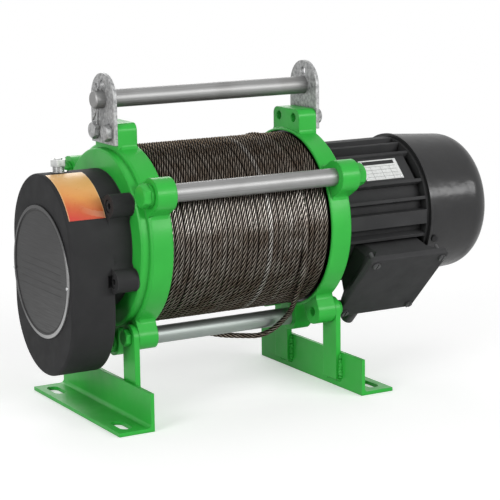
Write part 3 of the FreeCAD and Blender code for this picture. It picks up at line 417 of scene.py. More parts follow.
def makeRopeSteel(name, onDrum):
    rope = ropeFinish
    material, tree, shader = startMaterial(
        name, Metallic=0.85, Specular_Tint=rope["tint"],
        Anisotropic=rope["anisotropy"], Anisotropic_Rotation=rope["anisotropyTurn"])
    turnTone = namedValue(tree, "turnTone")
    bright = mixColour(tree, turnTone, rope["dull"], rope["clean"])
    smear = span(tree, noise(tree, rope["smearScale"], 5.0), 0.38, 0.64, 0.0, rope["smearMost"])
    left = span(tree, turnTone, 0.3, 0.95, 1.0, rope["smearLeft"])  # pale turns hold little grease
    bright = mixColour(tree, reckon(tree, "MULTIPLY", smear, left), bright, rope["smear"])
    if onDrum:
        bright = paintWindingLightAndShade(tree, bright)
    wires = noise(tree, rope["wireScale"], 3.0)
    height = reckon(tree, "MULTIPLY", wires, rope["wireShare"])
    height = reckon(tree, "ADD", namedValue(tree, "strandCrest"), height)
    worn = span(tree, height, rope["wornFrom"], rope["wornTo"])
    tone = mixColour(tree, worn, rope["groove"], bright)
    if onDrum:
        # darker where the rope lies deeper toward the drum, in the gaps between turns: grease and painted
        # shade
        depth = span(tree, radiusFromAxis(tree, drumAxis), *rope["gapShadeAndGreaseRadii"])
        tone = mixColour(tree, depth, rope["gapShadeAndGrease"], tone)
        around = addNode(tree, "ShaderNodeTangent", direction_type="RADIAL", axis="X")
        feed(tree, shader, "Tangent", around.outputs["Tangent"])
    feed(tree, shader, "Base Color", tone)
    feed(tree, shader, "Roughness", span(tree, worn, 0.0, 0.8, *rope["roughness"]))
    bumps(tree, shader, [(wires, *rope["wireBump"])])
    return material


# turned and sheet metal inside

turned = {
    "ringShade": 0.7, "ringStretch": (1800.0, 60.0, 60.0), "ringBump": (0.2, 0.0001),
    "oil": (0.16, 0.13, 0.09), "oilScale": 50.0, "oilMost": 0.5,
    "roughness": (0.25, 0.45), "edgeRadius": 0.0005,
}


def makeMachined(name, pale):
    material, tree, shader = startMaterial(name, Metallic=1.0)
    rings = noise(tree, 1.0, 5.0, turned["ringStretch"])
    tone = mixColour(tree, span(tree, rings, 0.3, 0.7), shaded(pale, turned["ringShade"]), pale)
    oil = span(tree, noise(tree, turned["oilScale"], 4.0), 0.5, 0.75, 0.0, turned["oilMost"])
    feed(tree, shader, "Base Color", mixColour(tree, oil, tone, turned["oil"]))
    feed(tree, shader, "Roughness", span(tree, rings, 0.2, 0.8, *turned["roughness"]))
    bumps(tree, shader, [(rings, *turned["ringBump"])], edgeNormal(tree, turned["edgeRadius"]))
    return material


coil = {
    "deep": (0.16, 0.05, 0.02), "full": (0.5, 0.2, 0.09), "roughness": (0.3, 0.5),
    "wireStretch": (900.0, 120.0, 120.0), "wireBump": (0.5, 0.0004),
}


def makeCopper(name):
    material, tree, shader = startMaterial(name, Metallic=0.7)
    wires = noise(tree, 1.0, 4.0, coil["wireStretch"])
    feed(tree, shader, "Base Color", mixColour(tree, span(tree, wires, 0.3, 0.7), coil["deep"], coil["full"]))
    feed(tree, shader, "Roughness", span(tree, wires, 0.2, 0.8, *coil["roughness"]))
    bumps(tree, shader, [(wires, *coil["wireBump"])])
    return material


# glands, terminal block, seals

moulded = {
    "driftScale": 140.0, "sheenScale": 300.0, "textureScale": 1400.0, "textureBump": (0.2, 0.0001),
    "edgeRadius": 0.0006,
}


def makeMoulded(name, deep, full, rough):
    material, tree, shader = startMaterial(name)
    drift = span(tree, noise(tree, moulded["driftScale"], 5.0), 0.3, 0.7)
    feed(tree, shader, "Base Color", mixColour(tree, drift, deep, full))
    sheen = noise(tree, moulded["sheenScale"], 3.0)
    feed(tree, shader, "Roughness", span(tree, sheen, 0.3, 0.7, rough - 0.06, rough + 0.08))
    texture = noise(tree, moulded["textureScale"], 2.0)
    bumps(tree, shader, [(texture, *moulded["textureBump"])], edgeNormal(tree, moulded["edgeRadius"]))
    return material


# round plate on the gear cover: brushed dark metal with a painted sheen toward the lower front, a pale rim
# brightened by that sheen, an inner ring line and blank ruled lines

roundPlate = {
    "height": 0.156, "radius": 0.0696, "rimWidth": 0.0036, "rim": (0.42, 0.42, 0.42), "rimPaintedSheen": (0.1, 0.9),
    "deep": (0.019, 0.019, 0.020), "full": (0.054, 0.054, 0.054),
    "paintedSheenTilt": -0.75, "paintedSheenSpan": (-0.02, 0.085),
    "brushed": (0.040, 0.040, 0.040), "brushStretch": (900.0, 40.0, 900.0), "brushBump": (0.15, 0.0001),
    "roughness": (0.3, 0.48), "edgeRadius": 0.0004,
    "ringRadius": 0.0640, "ringHalf": 0.0007,
    "rows": (0.0120, 0.0045, -0.0030, -0.0105, -0.0180), "rowHalf": 0.0005, "rowReach": 0.050, "rowDark": 0.7,
    "ink": (0.004, 0.004, 0.004), "inkBump": (-0.6, 0.0002),
}


def makeRoundPlate(name):
    plate = roundPlate
    material, tree, shader = startMaterial(name, Metallic=0.9)
    y, z = splitCoords(tree)[1:]
    z = reckon(tree, "SUBTRACT", z, plate["height"])
    radius = radiusFromAxis(tree, plate["height"])
    lines = noise(tree, 1.0, 6.0, plate["brushStretch"])
    slant = reckon(tree, "SUBTRACT", reckon(tree, "MULTIPLY", y, plate["paintedSheenTilt"]), z)
    sheen = span(tree, slant, *plate["paintedSheenSpan"])  # painted sheen, lighter toward the lower front
    base = mixColour(tree, sheen, plate["deep"], plate["full"])
    base = mixColour(tree, span(tree, lines, 0.35, 0.7, 0.0, 0.5), base, plate["brushed"])
    rows = anyOf(tree, [band(tree, z, place, plate["rowHalf"]) for place in plate["rows"]])
    rows = reckon(tree, "MULTIPLY", rows, band(tree, y, 0.0, plate["rowReach"]))
    ring = band(tree, radius, plate["ringRadius"], plate["ringHalf"])
    dark = anyOf(tree, [ring, reckon(tree, "MULTIPLY", rows, plate["rowDark"])])
    base = mixColour(tree, dark, base, plate["ink"])
    # the pale rim shows mostly where the painted sheen is strong
    rim = reckon(tree, "GREATER_THAN", radius, plate["radius"] - plate["rimWidth"])
    rim = reckon(tree, "MULTIPLY", rim, span(tree, sheen, 0.3, 1.0, *plate["rimPaintedSheen"]))
    feed(tree, shader, "Base Color", mixColour(tree, rim, base, plate["rim"]))
    feed(tree, shader, "Roughness", span(tree, lines, 0.2, 0.8, *plate["roughness"]))
    layers = [(lines, *plate["brushBump"]), (dark, *plate["inkBump"])]
    bumps(tree, shader, layers, edgeNormal(tree, plate["edgeRadius"]))
    return material


# small plate on the motor: pale metal, dark header bar, blank ruled table

motorPlate = {
    "angle": 44.7,  # degrees up from the front
    "half": 0.0135, "from": 0.164, "to": 0.213,
    "deep": (0.62, 0.63, 0.62), "full": (0.80, 0.81, 0.80), "roughness": (0.35, 0.5),
    "cloudScale": 400.0, "cloudBump": (0.1, 0.0001),
    "header": 0.0050, "topMargin": 0.0015, "sideMargin": 0.004,
    "rows": (0.0045, -0.0001, -0.0047, -0.0093), "columns": (0.176, 0.189, 0.201),
    "lineHalf": 0.00022, "lineDark": 0.65, "ink": (0.015, 0.015, 0.016), "inkBump": (-0.3, 0.0001),
}


def makeMotorPlate(name):
    plate = motorPlate
    material, tree, shader = startMaterial(name, Metallic=0.35)
    x, y, z = splitCoords(tree)
    z = reckon(tree, "SUBTRACT", z, drumAxis)
    lean = math.radians(plate["angle"])
    across = reckon(
        tree, "ADD", reckon(tree, "MULTIPLY", y, math.sin(lean)), reckon(tree, "MULTIPLY", z, math.cos(lean)))
    cloud = noise(tree, plate["cloudScale"], 4.0)
    base = mixColour(tree, span(tree, cloud, 0.3, 0.7), plate["deep"], plate["full"])
    fromLeft = reckon(tree, "GREATER_THAN", x, plate["from"] + plate["sideMargin"])
    fromRight = reckon(tree, "LESS_THAN", x, plate["to"] - plate["sideMargin"])
    inside = reckon(tree, "MULTIPLY", fromLeft, fromRight)
    headerHalf = plate["header"] / 2.0
    header = band(tree, across, plate["half"] - plate["topMargin"] - headerHalf, headerHalf)
    rows = anyOf(tree, [band(tree, across, place, plate["lineHalf"]) for place in plate["rows"]])
    columns = anyOf(tree, [band(tree, x, place, plate["lineHalf"]) for place in plate["columns"]])
    rows = reckon(tree, "MULTIPLY", rows, inside)
    columns = reckon(tree, "MULTIPLY", columns, reckon(tree, "LESS_THAN", across, plate["rows"][0]))
    ruled = reckon(tree, "MULTIPLY", anyOf(tree, [rows, columns]), plate["lineDark"])
    dark = anyOf(tree, [reckon(tree, "MULTIPLY", header, inside), ruled])
    feed(tree, shader, "Base Color", mixColour(tree, dark, base, plate["ink"]))
    feed(tree, shader, "Roughness", span(tree, cloud, 0.2, 0.8, *plate["roughness"]))
    bumps(tree, shader, [(cloud, *plate["cloudBump"]), (dark, *plate["inkBump"])])
    return material


# plain coloured foil on the cover's shoulder

foil = {
    "low": 0.2177, "high": 0.2576, "left": -0.1948, "right": -0.1544,
    "stops": [
        (0.04, (0.60, 0.065, 0.045)),
        (0.32, (0.62, 0.145, 0.052)),
        (0.62, (0.74, 0.32, 0.085)),
        (1.0, (0.75, 0.44, 0.15)),
    ],
    "driftScale": 60.0, "drift": 0.25, "lean": 0.16, "sheenScale": 200.0,
    "specular": 0.25, "coat": 0.1, "coatRoughness": 0.12, "roughness": (0.25, 0.42),
    "wedge": (0.70, 0.38, 0.23), "wedgeLean": 0.32, "wedgeAt": 0.40, "wedgeHalf": 0.07, "wedgeMost": 0.55,
    "border": (0.78, 0.56, 0.28), "borderWidth": 0.0008, "borderMost": 0.6,
    "rippleScale": 90.0, "rippleBump": (0.2, 0.0003),
}


def leaned(tree, lift, along, amount):
    return reckon(tree, "ADD", lift, reckon(tree, "MULTIPLY", along, amount))


def makeFoil(name):
    material, tree, shader = startMaterial(
        name, Specular_IOR_Level=foil["specular"],
        Coat_Weight=foil["coat"], Coat_Roughness=foil["coatRoughness"])
    x, _, z = splitCoords(tree)
    along = span(tree, x, foil["left"], foil["right"])
    drift = reckon(tree, "SUBTRACT", noise(tree, foil["driftScale"], 3.0), 0.5)
    lift = leaned(tree, span(tree, z, foil["low"], foil["high"]), drift, foil["drift"])
    base = ramp(tree, leaned(tree, lift, along, foil["lean"]), foil["stops"])
    # a lighter diagonal band, growing toward the right: painted sheen
    wedge = band(tree, leaned(tree, lift, along, foil["wedgeLean"]), foil["wedgeAt"], foil["wedgeHalf"])
    wedge = reckon(tree, "MULTIPLY", wedge, span(tree, along, 0.35, 0.9, 0.0, foil["wedgeMost"]))
    base = mixColour(tree, wedge, base, foil["wedge"])
    middle = (foil["left"] + foil["right"]) / 2.0
    half = (foil["right"] - foil["left"]) / 2.0
    border = reckon(tree, "GREATER_THAN", away(tree, x, middle), half - foil["borderWidth"])
    border = reckon(tree, "MULTIPLY", border, foil["borderMost"])
    feed(tree, shader, "Base Color", mixColour(tree, border, base, foil["border"]))
    sheen = noise(tree, foil["sheenScale"], 4.0)
    feed(tree, shader, "Roughness", span(tree, sheen, 0.3, 0.7, *foil["roughness"]))
    bumps(tree, shader, [(noise(tree, foil["rippleScale"], 4.0), *foil["rippleBump"])])
    return material


# a finish for each slot, and for the pieces that differ from their slot

finishes = {
    "green_paint": makeGreenPaint("castGreen", 0.16, 0.0022),
    "black_paint": makeCharcoal("charcoalPaint", 0.12, 0.55, 0.0),
    "bright_steel": makeDrawnSteel("drawnBar"),
    "zinc_plate": makePlated("zincFastener", (0.62, 0.63, 0.62), 0.32),
    "galvanised": makeGalvanised("galvanisedFlat"),
    "wire_rope": makeRopeSteel("ropeWire", False),
    "machined_steel": makeMachined("turnedSteel", (0.55, 0.56, 0.57)),
    "cast_iron": makeMachined("bareIron", (0.20, 0.20, 0.21)),
    "lamination": makeMachined("coreSheets", (0.32, 0.32, 0.34)),
    "enamel_wire": makeCopper("coilCopper"),
    "aluminium": makePlated("dieCast", (0.70, 0.71, 0.72), 0.4),
    "plate_foil": makeRoundPlate("roundPlateMetal"),
    "label_foil": makeFoil("shoulderFoil"),
    "black_plastic": makeMoulded("blackNylon", (0.014, 0.014, 0.015), (0.030, 0.030, 0.031), 0.5),
    "pale_plastic": makeMoulded("paleResin", (0.60, 0.60, 0.56), (0.74, 0.74, 0.70), 0.4),
    "gasket_paper": makeMoulded("sealSheet", (0.016, 0.016, 0.016), (0.035, 0.034, 0.033), 0.75),
    "seal_rubber": makeMoulded("sealRubber", (0.012, 0.012, 0.012), (0.026, 0.026, 0.026), 0.6),
}
rolledGreen = makeGreenPaint("rolledGreen", 0.05, 0.0009)
# a lightened copy of the charcoal for the motor, and below a slightly darkened one for the gear cover:
# painted light and painted shade
motorPaintLitCopy = makeCharcoal("motorPaintLitCopy", 0.12, 0.55, 0.0, 1.35)
ownFinish = {
    "left_foot": rolledGreen,
    "right_foot": rolledGreen,
    "left_uprights": rolledGreen,
    "right_uprights": rolledGreen,
    "motor_frame": motorPaintLitCopy,
    "terminal_box": motorPaintLitCopy,
    "terminal_lid": motorPaintLitCopy,
    "fan_cowl": makeCharcoal("cowlPaint", 0.03, 0.5, 0.55, 0.6),
    # slightly darkened copy of the charcoal: painted shade
    "gear_cover": makeCharcoal("coverPaintShadedCopy", 0.12, 0.55, 0.0, 0.94),
    "lid_screws": makeCharcoal("wornScrewPaint", 0.05, 0.4, 0.1, 2.4),
    "motor_nameplate": makeMotorPlate("motorPlateMetal"),
    "ear_bolts": finishes["galvanised"],
    "split_pins": finishes["galvanised"],
}


def dress(obj, material):
    obj.data.materials.clear()
    obj.data.materials.append(material)


for entry in record["subparts"]:
    node = entry["node"]
    dress(nodes[node], ownFinish.get(node, finishes[entry["material_slot"]]))
print("finishes made")


# sweeping a section along a line, for rope, weld beads and thread

def alongLine(points):
    line = np.array(points, float)
    steps = np.linalg.norm(np.diff(line, axis=0), axis=1)
    return line, np.concatenate(([0.0], np.cumsum(steps)))


def evenly(points, step):
    line, reach = alongLine(points)
    count = max(2, int(round(reach[-1] / step)) + 1)
    places = np.linspace(0.0, reach[-1], count)
    return np.stack([np.interp(places, reach, line[:, k]) for k in range(3)], axis=1)


def carriedFrames(line, first):
    ahead = np.gradient(line, axis=0)
    ahead /= np.linalg.norm(ahead, axis=1)[:, None]
    side = np.zeros_like(line)
    current = np.array(first, float)
    for k in range(len(line)):
        current = current - ahead[k] * np.dot(current, ahead[k])
        current /= np.linalg.norm(current)
        side[k] = current
    return side, np.cross(ahead, side)


def sweep(line, first, angles, radii):
    side, other = carriedFrames(line, first)
    out = np.cos(angles)[:, :, None] * side[:, None, :] + np.sin(angles)[:, :, None] * other[:, None, :]
    return (line[:, None, :] + radii[:, :, None] * out).reshape(-1, 3)


def circle(around):
    return 2.0 * math.pi * np.arange(around)[None, :] / around


def gridFaces(rings, around, start=0):
    faces = []
    for i in range(rings - 1):
        low = start + i * around
        for j in range(around):
            k = (j + 1) % around
            faces.append((low + j, low + k, low + around + k, low + around + j))
    faces.append(tuple(start + j for j in reversed(range(around))))
    faces.append(tuple(start + (rings - 1) * around + j for j in range(around)))
    return faces


def newPiece(name, verts, faces, material, smooth=True):
    mesh = bpy.data.meshes.new(name)
    mesh.from_pydata([tuple(v) for v in verts], [], faces)
    mesh.update()
    if smooth:
        mesh.polygons.foreach_set("use_smooth", [True] * len(mesh.polygons))
    obj = bpy.data.objects.new(name, mesh)
    scene.collection.objects.link(obj)
    dress(obj, material)
    return obj


# stranded rope: six strands round a core, as one lobed section that turns along the line

ropeMake = {
    "diameter": 0.0061, "strands": 6, "strandCentre": 0.655,  # share of the rope's radius
    "lobePoints": 5, "lay": 0.039, "step": 0.0019,
}


def ropeSection(make):
    outer = make["diameter"] / 2.0
    ring = outer * make["strandCentre"]
    strand = outer - ring
    sector = 360.0 / make["strands"]
    angles, radii = [], []
    for s in range(make["strands"]):
        for k in range(make["lobePoints"]):
            local = math.radians(-sector / 2.0 + sector * k / make["lobePoints"])
            root = max(strand * strand - (ring * math.sin(local)) ** 2, 0.0)
            angles.append(math.radians(sector * s) + local)
            radii.append(ring * math.cos(local) + math.sqrt(root))
    radii = np.array(radii)
    crest = (radii - radii.min()) / (radii.max() - radii.min())
    return np.array(angles), radii, crest


def ropeGeometry(line, first, make):
    angles, radii, crest = ropeSection(make)
    twist = 2.0 * math.pi * alongLine(line)[1] / make["lay"]
    verts = sweep(line, first, angles[None, :] + twist[:, None], radii[None, :])
    return verts, np.tile(crest, len(line)), len(angles)


def nameRopeData(obj, crest, tone):
    for name, values in (("strandCrest", crest), ("turnTone", tone)):
        layer = obj.data.attributes.new(name, "FLOAT", "POINT")
        layer.data.foreach_set("value", np.array(values, np.float32))


def aroundDrum(x, radius, angle):
    return np.stack([x, -radius * np.cos(angle), drumAxis + radius * np.sin(angle)], axis=1)


# the turns in sight on the drum

winding = {
    "turns": 31, "centreRadius": 0.0918, "halfLength": 0.0957,
    "looseGap": 0.10,  # share of a turn's width, times each number below
    "looseTurns": {3: 0.8, 4: 0.8, 10: 0.5, 16: 0.7, 20: 0.4, 25: 1.0, 26: 1.2, 28: 0.5},
    "plainTones": (0.03, 0.19), "paleTurns": {19: 0.66, 23: 0.26, 7: 0.22, 25: 0.2}, "toneBlend": 0.2,
    "bends": 9, "wander": 0.00028, "liftShare": 0.5, "seed": 11,
}


def windingLine(spec):
    rng = np.random.default_rng(spec["seed"])
    turns, half = spec["turns"], spec["halfLength"]
    weights = np.array([1.0 + spec["looseGap"] * spec["looseTurns"].get(k, 0.0) for k in range(turns)])
    ends = np.concatenate(([0.0], np.cumsum(weights)))
    ends = -half + 2.0 * half * ends / ends[-1]
    perTurn = int(2.0 * math.pi * spec["centreRadius"] / ropeMake["step"])
    turn = np.linspace(0.0, turns, perTurn * turns + 1)
    angle = 2.0 * math.pi * turn - math.pi / 2.0  # each turn starts below the drum
    knots = np.linspace(0.0, turns, turns * spec["bends"] + 1)
    sideways = np.interp(turn, knots, rng.normal(0.0, spec["wander"], len(knots)))
    lift = np.interp(turn, knots, rng.normal(0.0, spec["wander"] * spec["liftShare"], len(knots)))
    x = np.interp(turn, np.arange(turns + 1), ends) + sideways
    line = aroundDrum(x, spec["centreRadius"] + np.minimum(lift, 0.0), angle)
    pale = rng.uniform(*spec["plainTones"], turns + 1)
    for k, value in spec["paleTurns"].items():
        pale[k] = value
    whole = np.minimum(turn.astype(int), turns - 1)
    blend = spec["toneBlend"]
    change = np.clip((turn - whole - (1.0 - blend)) / blend, 0.0, 1.0)  # one tone a turn, blended at its end
    return line, pale[whole] * (1.0 - change) + pale[whole + 1] * change


# last turn, lying over its neighbours and leading down to the free end

lastTurn = {
    "angles": (-36.4, -20.0, -5.0, 15.0, 140.0, 180.0, 205.0),  # degrees up from the front
    "radii": (0.0994, 0.0968, 0.0948, 0.0934, 0.0934, 0.0922, 0.0905),
    "x": (0.0655, 0.0640, 0.0634, 0.0635, 0.0626, 0.0618, 0.0610),
    "points": 230, "tone": 0.19,
}


def lastTurnLine(spec):
    degrees = np.linspace(spec["angles"][-1], spec["angles"][0], spec["points"])
    radius = np.interp(degrees, spec["angles"], spec["radii"])
    x = np.interp(degrees, spec["angles"], spec["x"])
    return evenly(aroundDrum(x, radius, np.radians(degrees)), ropeMake["step"])


def buildWinding(spec, over):
    line, tone = windingLine(spec)
    verts, crest, around = ropeGeometry(line, (0.0, 0.0, 1.0), ropeMake)
    faces = gridFaces(len(line), around)
    overLine = lastTurnLine(over)
    overVerts, overCrest, around = ropeGeometry(overLine, (1.0, 0.0, 0.0), ropeMake)
    faces += gridFaces(len(overLine), around, len(verts))
    tones = np.concatenate((np.repeat(tone, around), np.full(len(overVerts), over["tone"])))
    obj = newPiece("rope_layer", np.concatenate((verts, overVerts)), faces, makeRopeSteel("ropeOnDrum", True))
    nameRopeData(obj, np.concatenate((crest, overCrest)), tones)
    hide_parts("rope_winding")
    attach(obj, "drum")
    return obj


# layers underneath, seen only through gaps: a scalloped sleeve

underLayer = {
    "bore": 0.0665, "crest": 0.0893, "valley": 0.0868, "halfLength": 0.0988,
    # a low crest share keeps the whole sleeve in the near-black groove tone: painted shade of the layers
    # below
    "turns": 30, "stepsPerTurn": 4, "around": 72, "strandCrest": 0.25,
}


def buildUnderLayer(spec):
    half, steps, around = spec["halfLength"], spec["stepsPerTurn"], spec["around"]
    pitch = 2.0 * half / spec["turns"]
    profile = [(-half, spec["bore"])]
    for k in range(spec["turns"]):
        for part in range(steps):
            swell = (spec["crest"] - spec["valley"]) * math.sin(math.pi * part / steps)
            profile.append((-half + pitch * (k + part / steps), spec["valley"] + swell))
    profile += [(half, spec["valley"]), (half, spec["bore"])]
    x, radius = np.array(profile).T
    verts = np.concatenate([aroundDrum(x, radius, angle) for angle in circle(around)[0]])
    size = len(profile)
    faces = []
    for s in range(around):
        low, high = s * size, ((s + 1) % around) * size
        for k in range(size):
            j = (k + 1) % size
            faces.append((low + k, high + k, high + j, low + j))
    obj = newPiece("rope_under_layer", verts, faces, finishes["wire_rope"])
    nameRopeData(obj, np.full(len(verts), spec["strandCrest"]), np.full(len(verts), 0.0))
    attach(obj, "drum")


ropeLayer = buildWinding(winding, lastTurn)
buildUnderLayer(underLayer)
print("winding built,", len(ropeLayer.data.polygons), "faces")


# free end of the rope, hanging round the bottom tie rod

tailRoute = [
    (0.0655, -0.0800, 0.1260),
    (0.0705, -0.0595, 0.1005),
    (0.0810, -0.0260, 0.0775),
    (0.0660, -0.0040, 0.0540),
    (0.0410, 0.0115, 0.0542),
    (0.0170, 0.0155, 0.0575),
    (-0.0070, 0.0160, 0.0650),
    (-0.0310, 0.0160, 0.0685),
]
tailMake = dict(ropeMake, diameter=0.0060, step=0.0011)


def splinePoints(route):
    data = bpy.data.curves.new("tailRoute", "CURVE")
    data.dimensions = "3D"
    spline = data.splines.new("NURBS")
    spline.points.add(len(route) - 1)
    for point, place in zip(spline.points, route):
        point.co = (*place, 1.0)
    spline.order_u = 3
    spline.use_endpoint_u = True
    spline.resolution_u = 24
    obj = bpy.data.objects.new("tailRoute", data)
    scene.collection.objects.link(obj)
    bpy.context.view_layer.update()
    mesh = bpy.data.meshes.new_from_object(obj)
    points = [tuple(v.co) for v in mesh.vertices]
    bpy.data.objects.remove(obj)
    bpy.data.meshes.remove(mesh)
    return points


def buildTail(route):
    line = evenly(splinePoints(route), tailMake["step"])
    verts, crest, around = ropeGeometry(line, (1.0, 0.0, 0.0), tailMake)
    obj = newPiece("rope_free_end", verts, gridFaces(len(line), around), finishes["wire_rope"])
    nameRopeData(obj, crest, np.full(len(verts), 0.0))
    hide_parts("rope_tail")
    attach(obj, "frame")


buildTail(tailRoute)


# weld beads between uprights and angle irons

beads = {
    "radius": 0.0029, "ripple": 0.0040, "step": 0.0008, "around": 12, "shake": 0.00018, "taper": 0.0024,
    "uprightHalf": 0.0135, "uprightY": 0.052, "face": 0.126, "low": 0.0088, "high": 0.039, "cornerGap": 0.001,
    "waveLow": 0.78, "waveRise": 0.30, "bluntEnd": 0.25, "lumps": 8, "lumpSizes": (0.8, 1.25), "uneven": 0.05,
    "firstSide": (0.31, 0.52, 0.79),  # not along any bead
    "firstSeed": 4,
}


def beadGeometry(path, spec, seed):
    rng = np.random.default_rng(seed)
    line = evenly(path, spec["step"])
    line[1:-1] += rng.normal(0.0, spec["shake"], (len(line) - 2, 3))
    reach = alongLine(line)[1]
    phase = rng.uniform(0.0, 0.4)
    wave = spec["waveLow"] + spec["waveRise"] * np.abs(np.sin(math.pi * reach / spec["ripple"] + phase))
    ends = np.minimum(1.0, np.minimum(reach, reach[-1] - reach) / spec["taper"] + spec["bluntEnd"])
    lumps = rng.uniform(*spec["lumpSizes"], spec["lumps"])
    lumps = np.interp(reach, np.linspace(0.0, reach[-1], spec["lumps"]), lumps)
    size = spec["radius"] * wave * ends * lumps * (1.0 + rng.normal(0.0, spec["uneven"], len(line)))
    return sweep(line, spec["firstSide"], circle(spec["around"]), size[:, None]), len(line)


def buildBeads(name, side, spec):
    verts, faces, seed = [], [], spec["firstSeed"]
    face, base, high = side * spec["face"], spec["low"], spec["high"]
    for y in (-spec["uprightY"], spec["uprightY"]):
        ends = (y - spec["uprightHalf"], y + spec["uprightHalf"])
        paths = [[(face, end, base + spec["cornerGap"]), (face, end, high)] for end in ends]
        paths.append([(face, end, base) for end in ends])
        for path in paths:
            points, rings = beadGeometry(path, spec, seed)
            faces += gridFaces(rings, spec["around"], len(verts))
            verts += list(points)
            seed += 1
    obj = newPiece(name, verts, faces, rolledGreen)
    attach(obj, "frame")


buildBeads("left_weld_beads", -1, beads)
buildBeads("right_weld_beads", 1, beads)
print("weld beads laid")


# thread showing under the head of the oil plug

plugThread = {
    "x": -0.173, "y": 0.006, "low": 0.2586, "high": 0.2634, "radius": 0.0060,
    "pitch": 0.0013, "ridge": 0.00042, "perTurn": 32, "around": 6,
}


def buildThread(spec):
    turns = (spec["high"] - spec["low"]) / spec["pitch"]
    turn = np.arange(int(turns * spec["perTurn"]) + 1) / spec["perTurn"]
    angle = 2.0 * math.pi * turn
    x = spec["x"] + spec["radius"] * np.cos(angle)
    y = spec["y"] + spec["radius"] * np.sin(angle)
    line = np.stack([x, y, spec["low"] + spec["pitch"] * turn], axis=1)
    verts = sweep(line, (1.0, 0.0, 0.0), circle(spec["around"]), np.full((1, 1), spec["ridge"]))
    obj = newPiece("oil_plug_thread", verts, gridFaces(len(line), spec["around"]), finishes["zinc_plate"])
    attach(obj, "frame")


buildThread(plugThread)


# domed rivets at the corners of the motor plate

plateRivets = {
    "radius": 0.0014, "rise": 0.0008, "inset": 0.0026, "seat": 0.0728, "around": 12,
    "rings": ((1.0, -0.25), (1.0, 0.0), (0.8, 0.55), (0.42, 0.9)),  # shares of radius and rise
}


def buildPlateRivets(spec):
    lean = math.radians(motorPlate["angle"])
    out = Vector((0.0, -math.cos(lean), math.sin(lean)))
    across = Vector((0.0, math.sin(lean), math.cos(lean)))
    along = Vector((1.0, 0.0, 0.0))
    verts, faces = [], []
    for x in (motorPlate["from"] + spec["inset"], motorPlate["to"] - spec["inset"]):
        for w in (-motorPlate["half"] + spec["inset"], motorPlate["half"] - spec["inset"]):
            middle = Vector((x, 0.0, drumAxis)) + out * spec["seat"] + across * w
            faces += gridFaces(len(spec["rings"]), spec["around"], len(verts))
            for size, rise in spec["rings"]:
                reach = spec["radius"] * size
                centre = middle + out * (rise * spec["rise"])
                for angle in circle(spec["around"])[0]:
                    arm = along * math.cos(angle) + across * math.sin(angle)
                    verts.append(centre + arm * reach)
    obj = newPiece("motor_plate_rivets", verts, faces, finishes["aluminium"])
    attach(obj, "frame")


buildPlateRivets(plateRivets)
print("small fittings placed")


# floor, world and lamps

studio = {
    "floorHalf": 16.0, "floorDrop": 0.0003,
    "floorTone": (0.80, 0.80, 0.80), "floorPatch": (0.78, 0.78, 0.78), "patchScale": 8.0, "patchMost": 0.3,
    "glow": 0.42, "whiteFrom": 0.35, "whiteTo": 0.95, "white": (1.0, 1.0, 1.0),
    "worldFill": 0.3, "aim": (0.05, 0.0, 0.17),
}


def seenRays(tree):
    path = addNode(tree, "ShaderNodeLightPath").outputs
    return anyOf(tree, [path["Is Camera Ray"], path["Is Glossy Ray"], path["Is Transmission Ray"]])


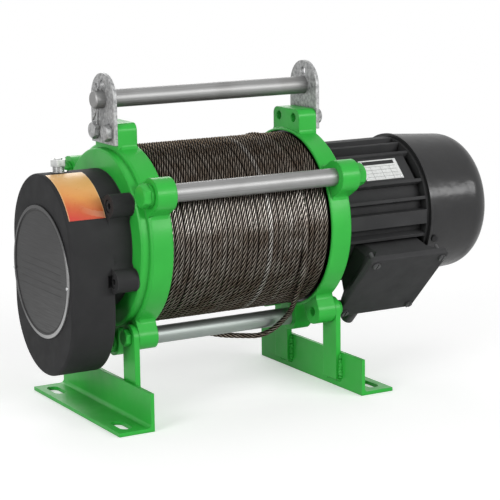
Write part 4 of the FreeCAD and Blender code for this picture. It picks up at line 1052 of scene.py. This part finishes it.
def makeFloor(spec):
    material, tree, shader = startMaterial("studioFloor", Roughness=0.9, Specular_IOR_Level=0.1)
    patches = span(tree, noise(tree, spec["patchScale"], 3.0), 0.3, 0.7, 0.0, spec["patchMost"])
    feed(tree, shader, "Base Color", mixColour(tree, patches, spec["floorTone"], spec["floorPatch"]))
    seen = seenRays(tree)
    glow = addNode(tree, "ShaderNodeEmission", {"Color": spec["white"]})
    tree.links.new(reckon(tree, "MULTIPLY", seen, spec["glow"]), glow.inputs["Strength"])
    both = addNode(tree, "ShaderNodeAddShader", {0: shader.outputs[0], 1: glow.outputs[0]})
    white = addNode(tree, "ShaderNodeEmission", {"Color": spec["white"], "Strength": 1.0})
    length = addNode(tree, "ShaderNodeVectorMath", {0: objectCoords(tree)}, operation="LENGTH")
    far = span(tree, length.outputs["Value"], spec["whiteFrom"], spec["whiteTo"])
    far = reckon(tree, "MULTIPLY", seen, far)
    fade = addNode(tree, "ShaderNodeMixShader", {0: far, 1: both.outputs[0], 2: white.outputs[0]})
    out = [n for n in tree.nodes if n.type == "OUTPUT_MATERIAL"][0]
    tree.links.new(fade.outputs[0], out.inputs[0])
    half, low = spec["floorHalf"], -spec["floorDrop"]
    verts = [(-half, -half, low), (half, -half, low), (half, half, low), (-half, half, low)]
    floor = newPiece("studioFloor", verts, [(0, 1, 2, 3)], material, False)


def makeWorld(spec):
    world = bpy.data.worlds.new("studioWorld")
    scene.world = world
    world.use_nodes = True
    tree = world.node_tree
    back = tree.nodes["Background"]
    plug(tree, back.inputs["Color"], spec["white"])
    strength = span(tree, seenRays(tree), 0.0, 1.0, spec["worldFill"], 1.0)
    tree.links.new(strength, back.inputs["Strength"])


lamps = {
    "key": {"at": (1.20, -2.06, 1.00), "size": (1.95, 0.45), "power": 35.5},
    "left": {"at": (-2.0, -0.9, 0.95), "size": (0.9, 1.4), "power": 24.0},
    "top": {"at": (0.1, 0.2, 2.2), "size": (1.6, 1.0), "power": 3.0},
    "rear": {"at": (0.6, 2.0, 1.3), "size": (1.6, 0.8), "power": 14.0},
}


def hangLamp(name, spec, target):
    data = bpy.data.lights.new(name, "AREA")
    data.shape = "RECTANGLE"
    data.size, data.size_y = spec["size"]
    data.energy = spec["power"]
    lamp = bpy.data.objects.new(name, data)
    lamp.location = spec["at"]
    lamp.visible_camera = False
    aim = Vector(target) - Vector(spec["at"])
    lamp.rotation_euler = aim.to_track_quat("-Z", "Y").to_euler()
    scene.collection.objects.link(lamp)


makeFloor(studio)
makeWorld(studio)
for name, spec in lamps.items():
    hangLamp(name + "Lamp", spec, studio["aim"])
scene.view_settings.view_transform = "Standard"
print("studio lit")
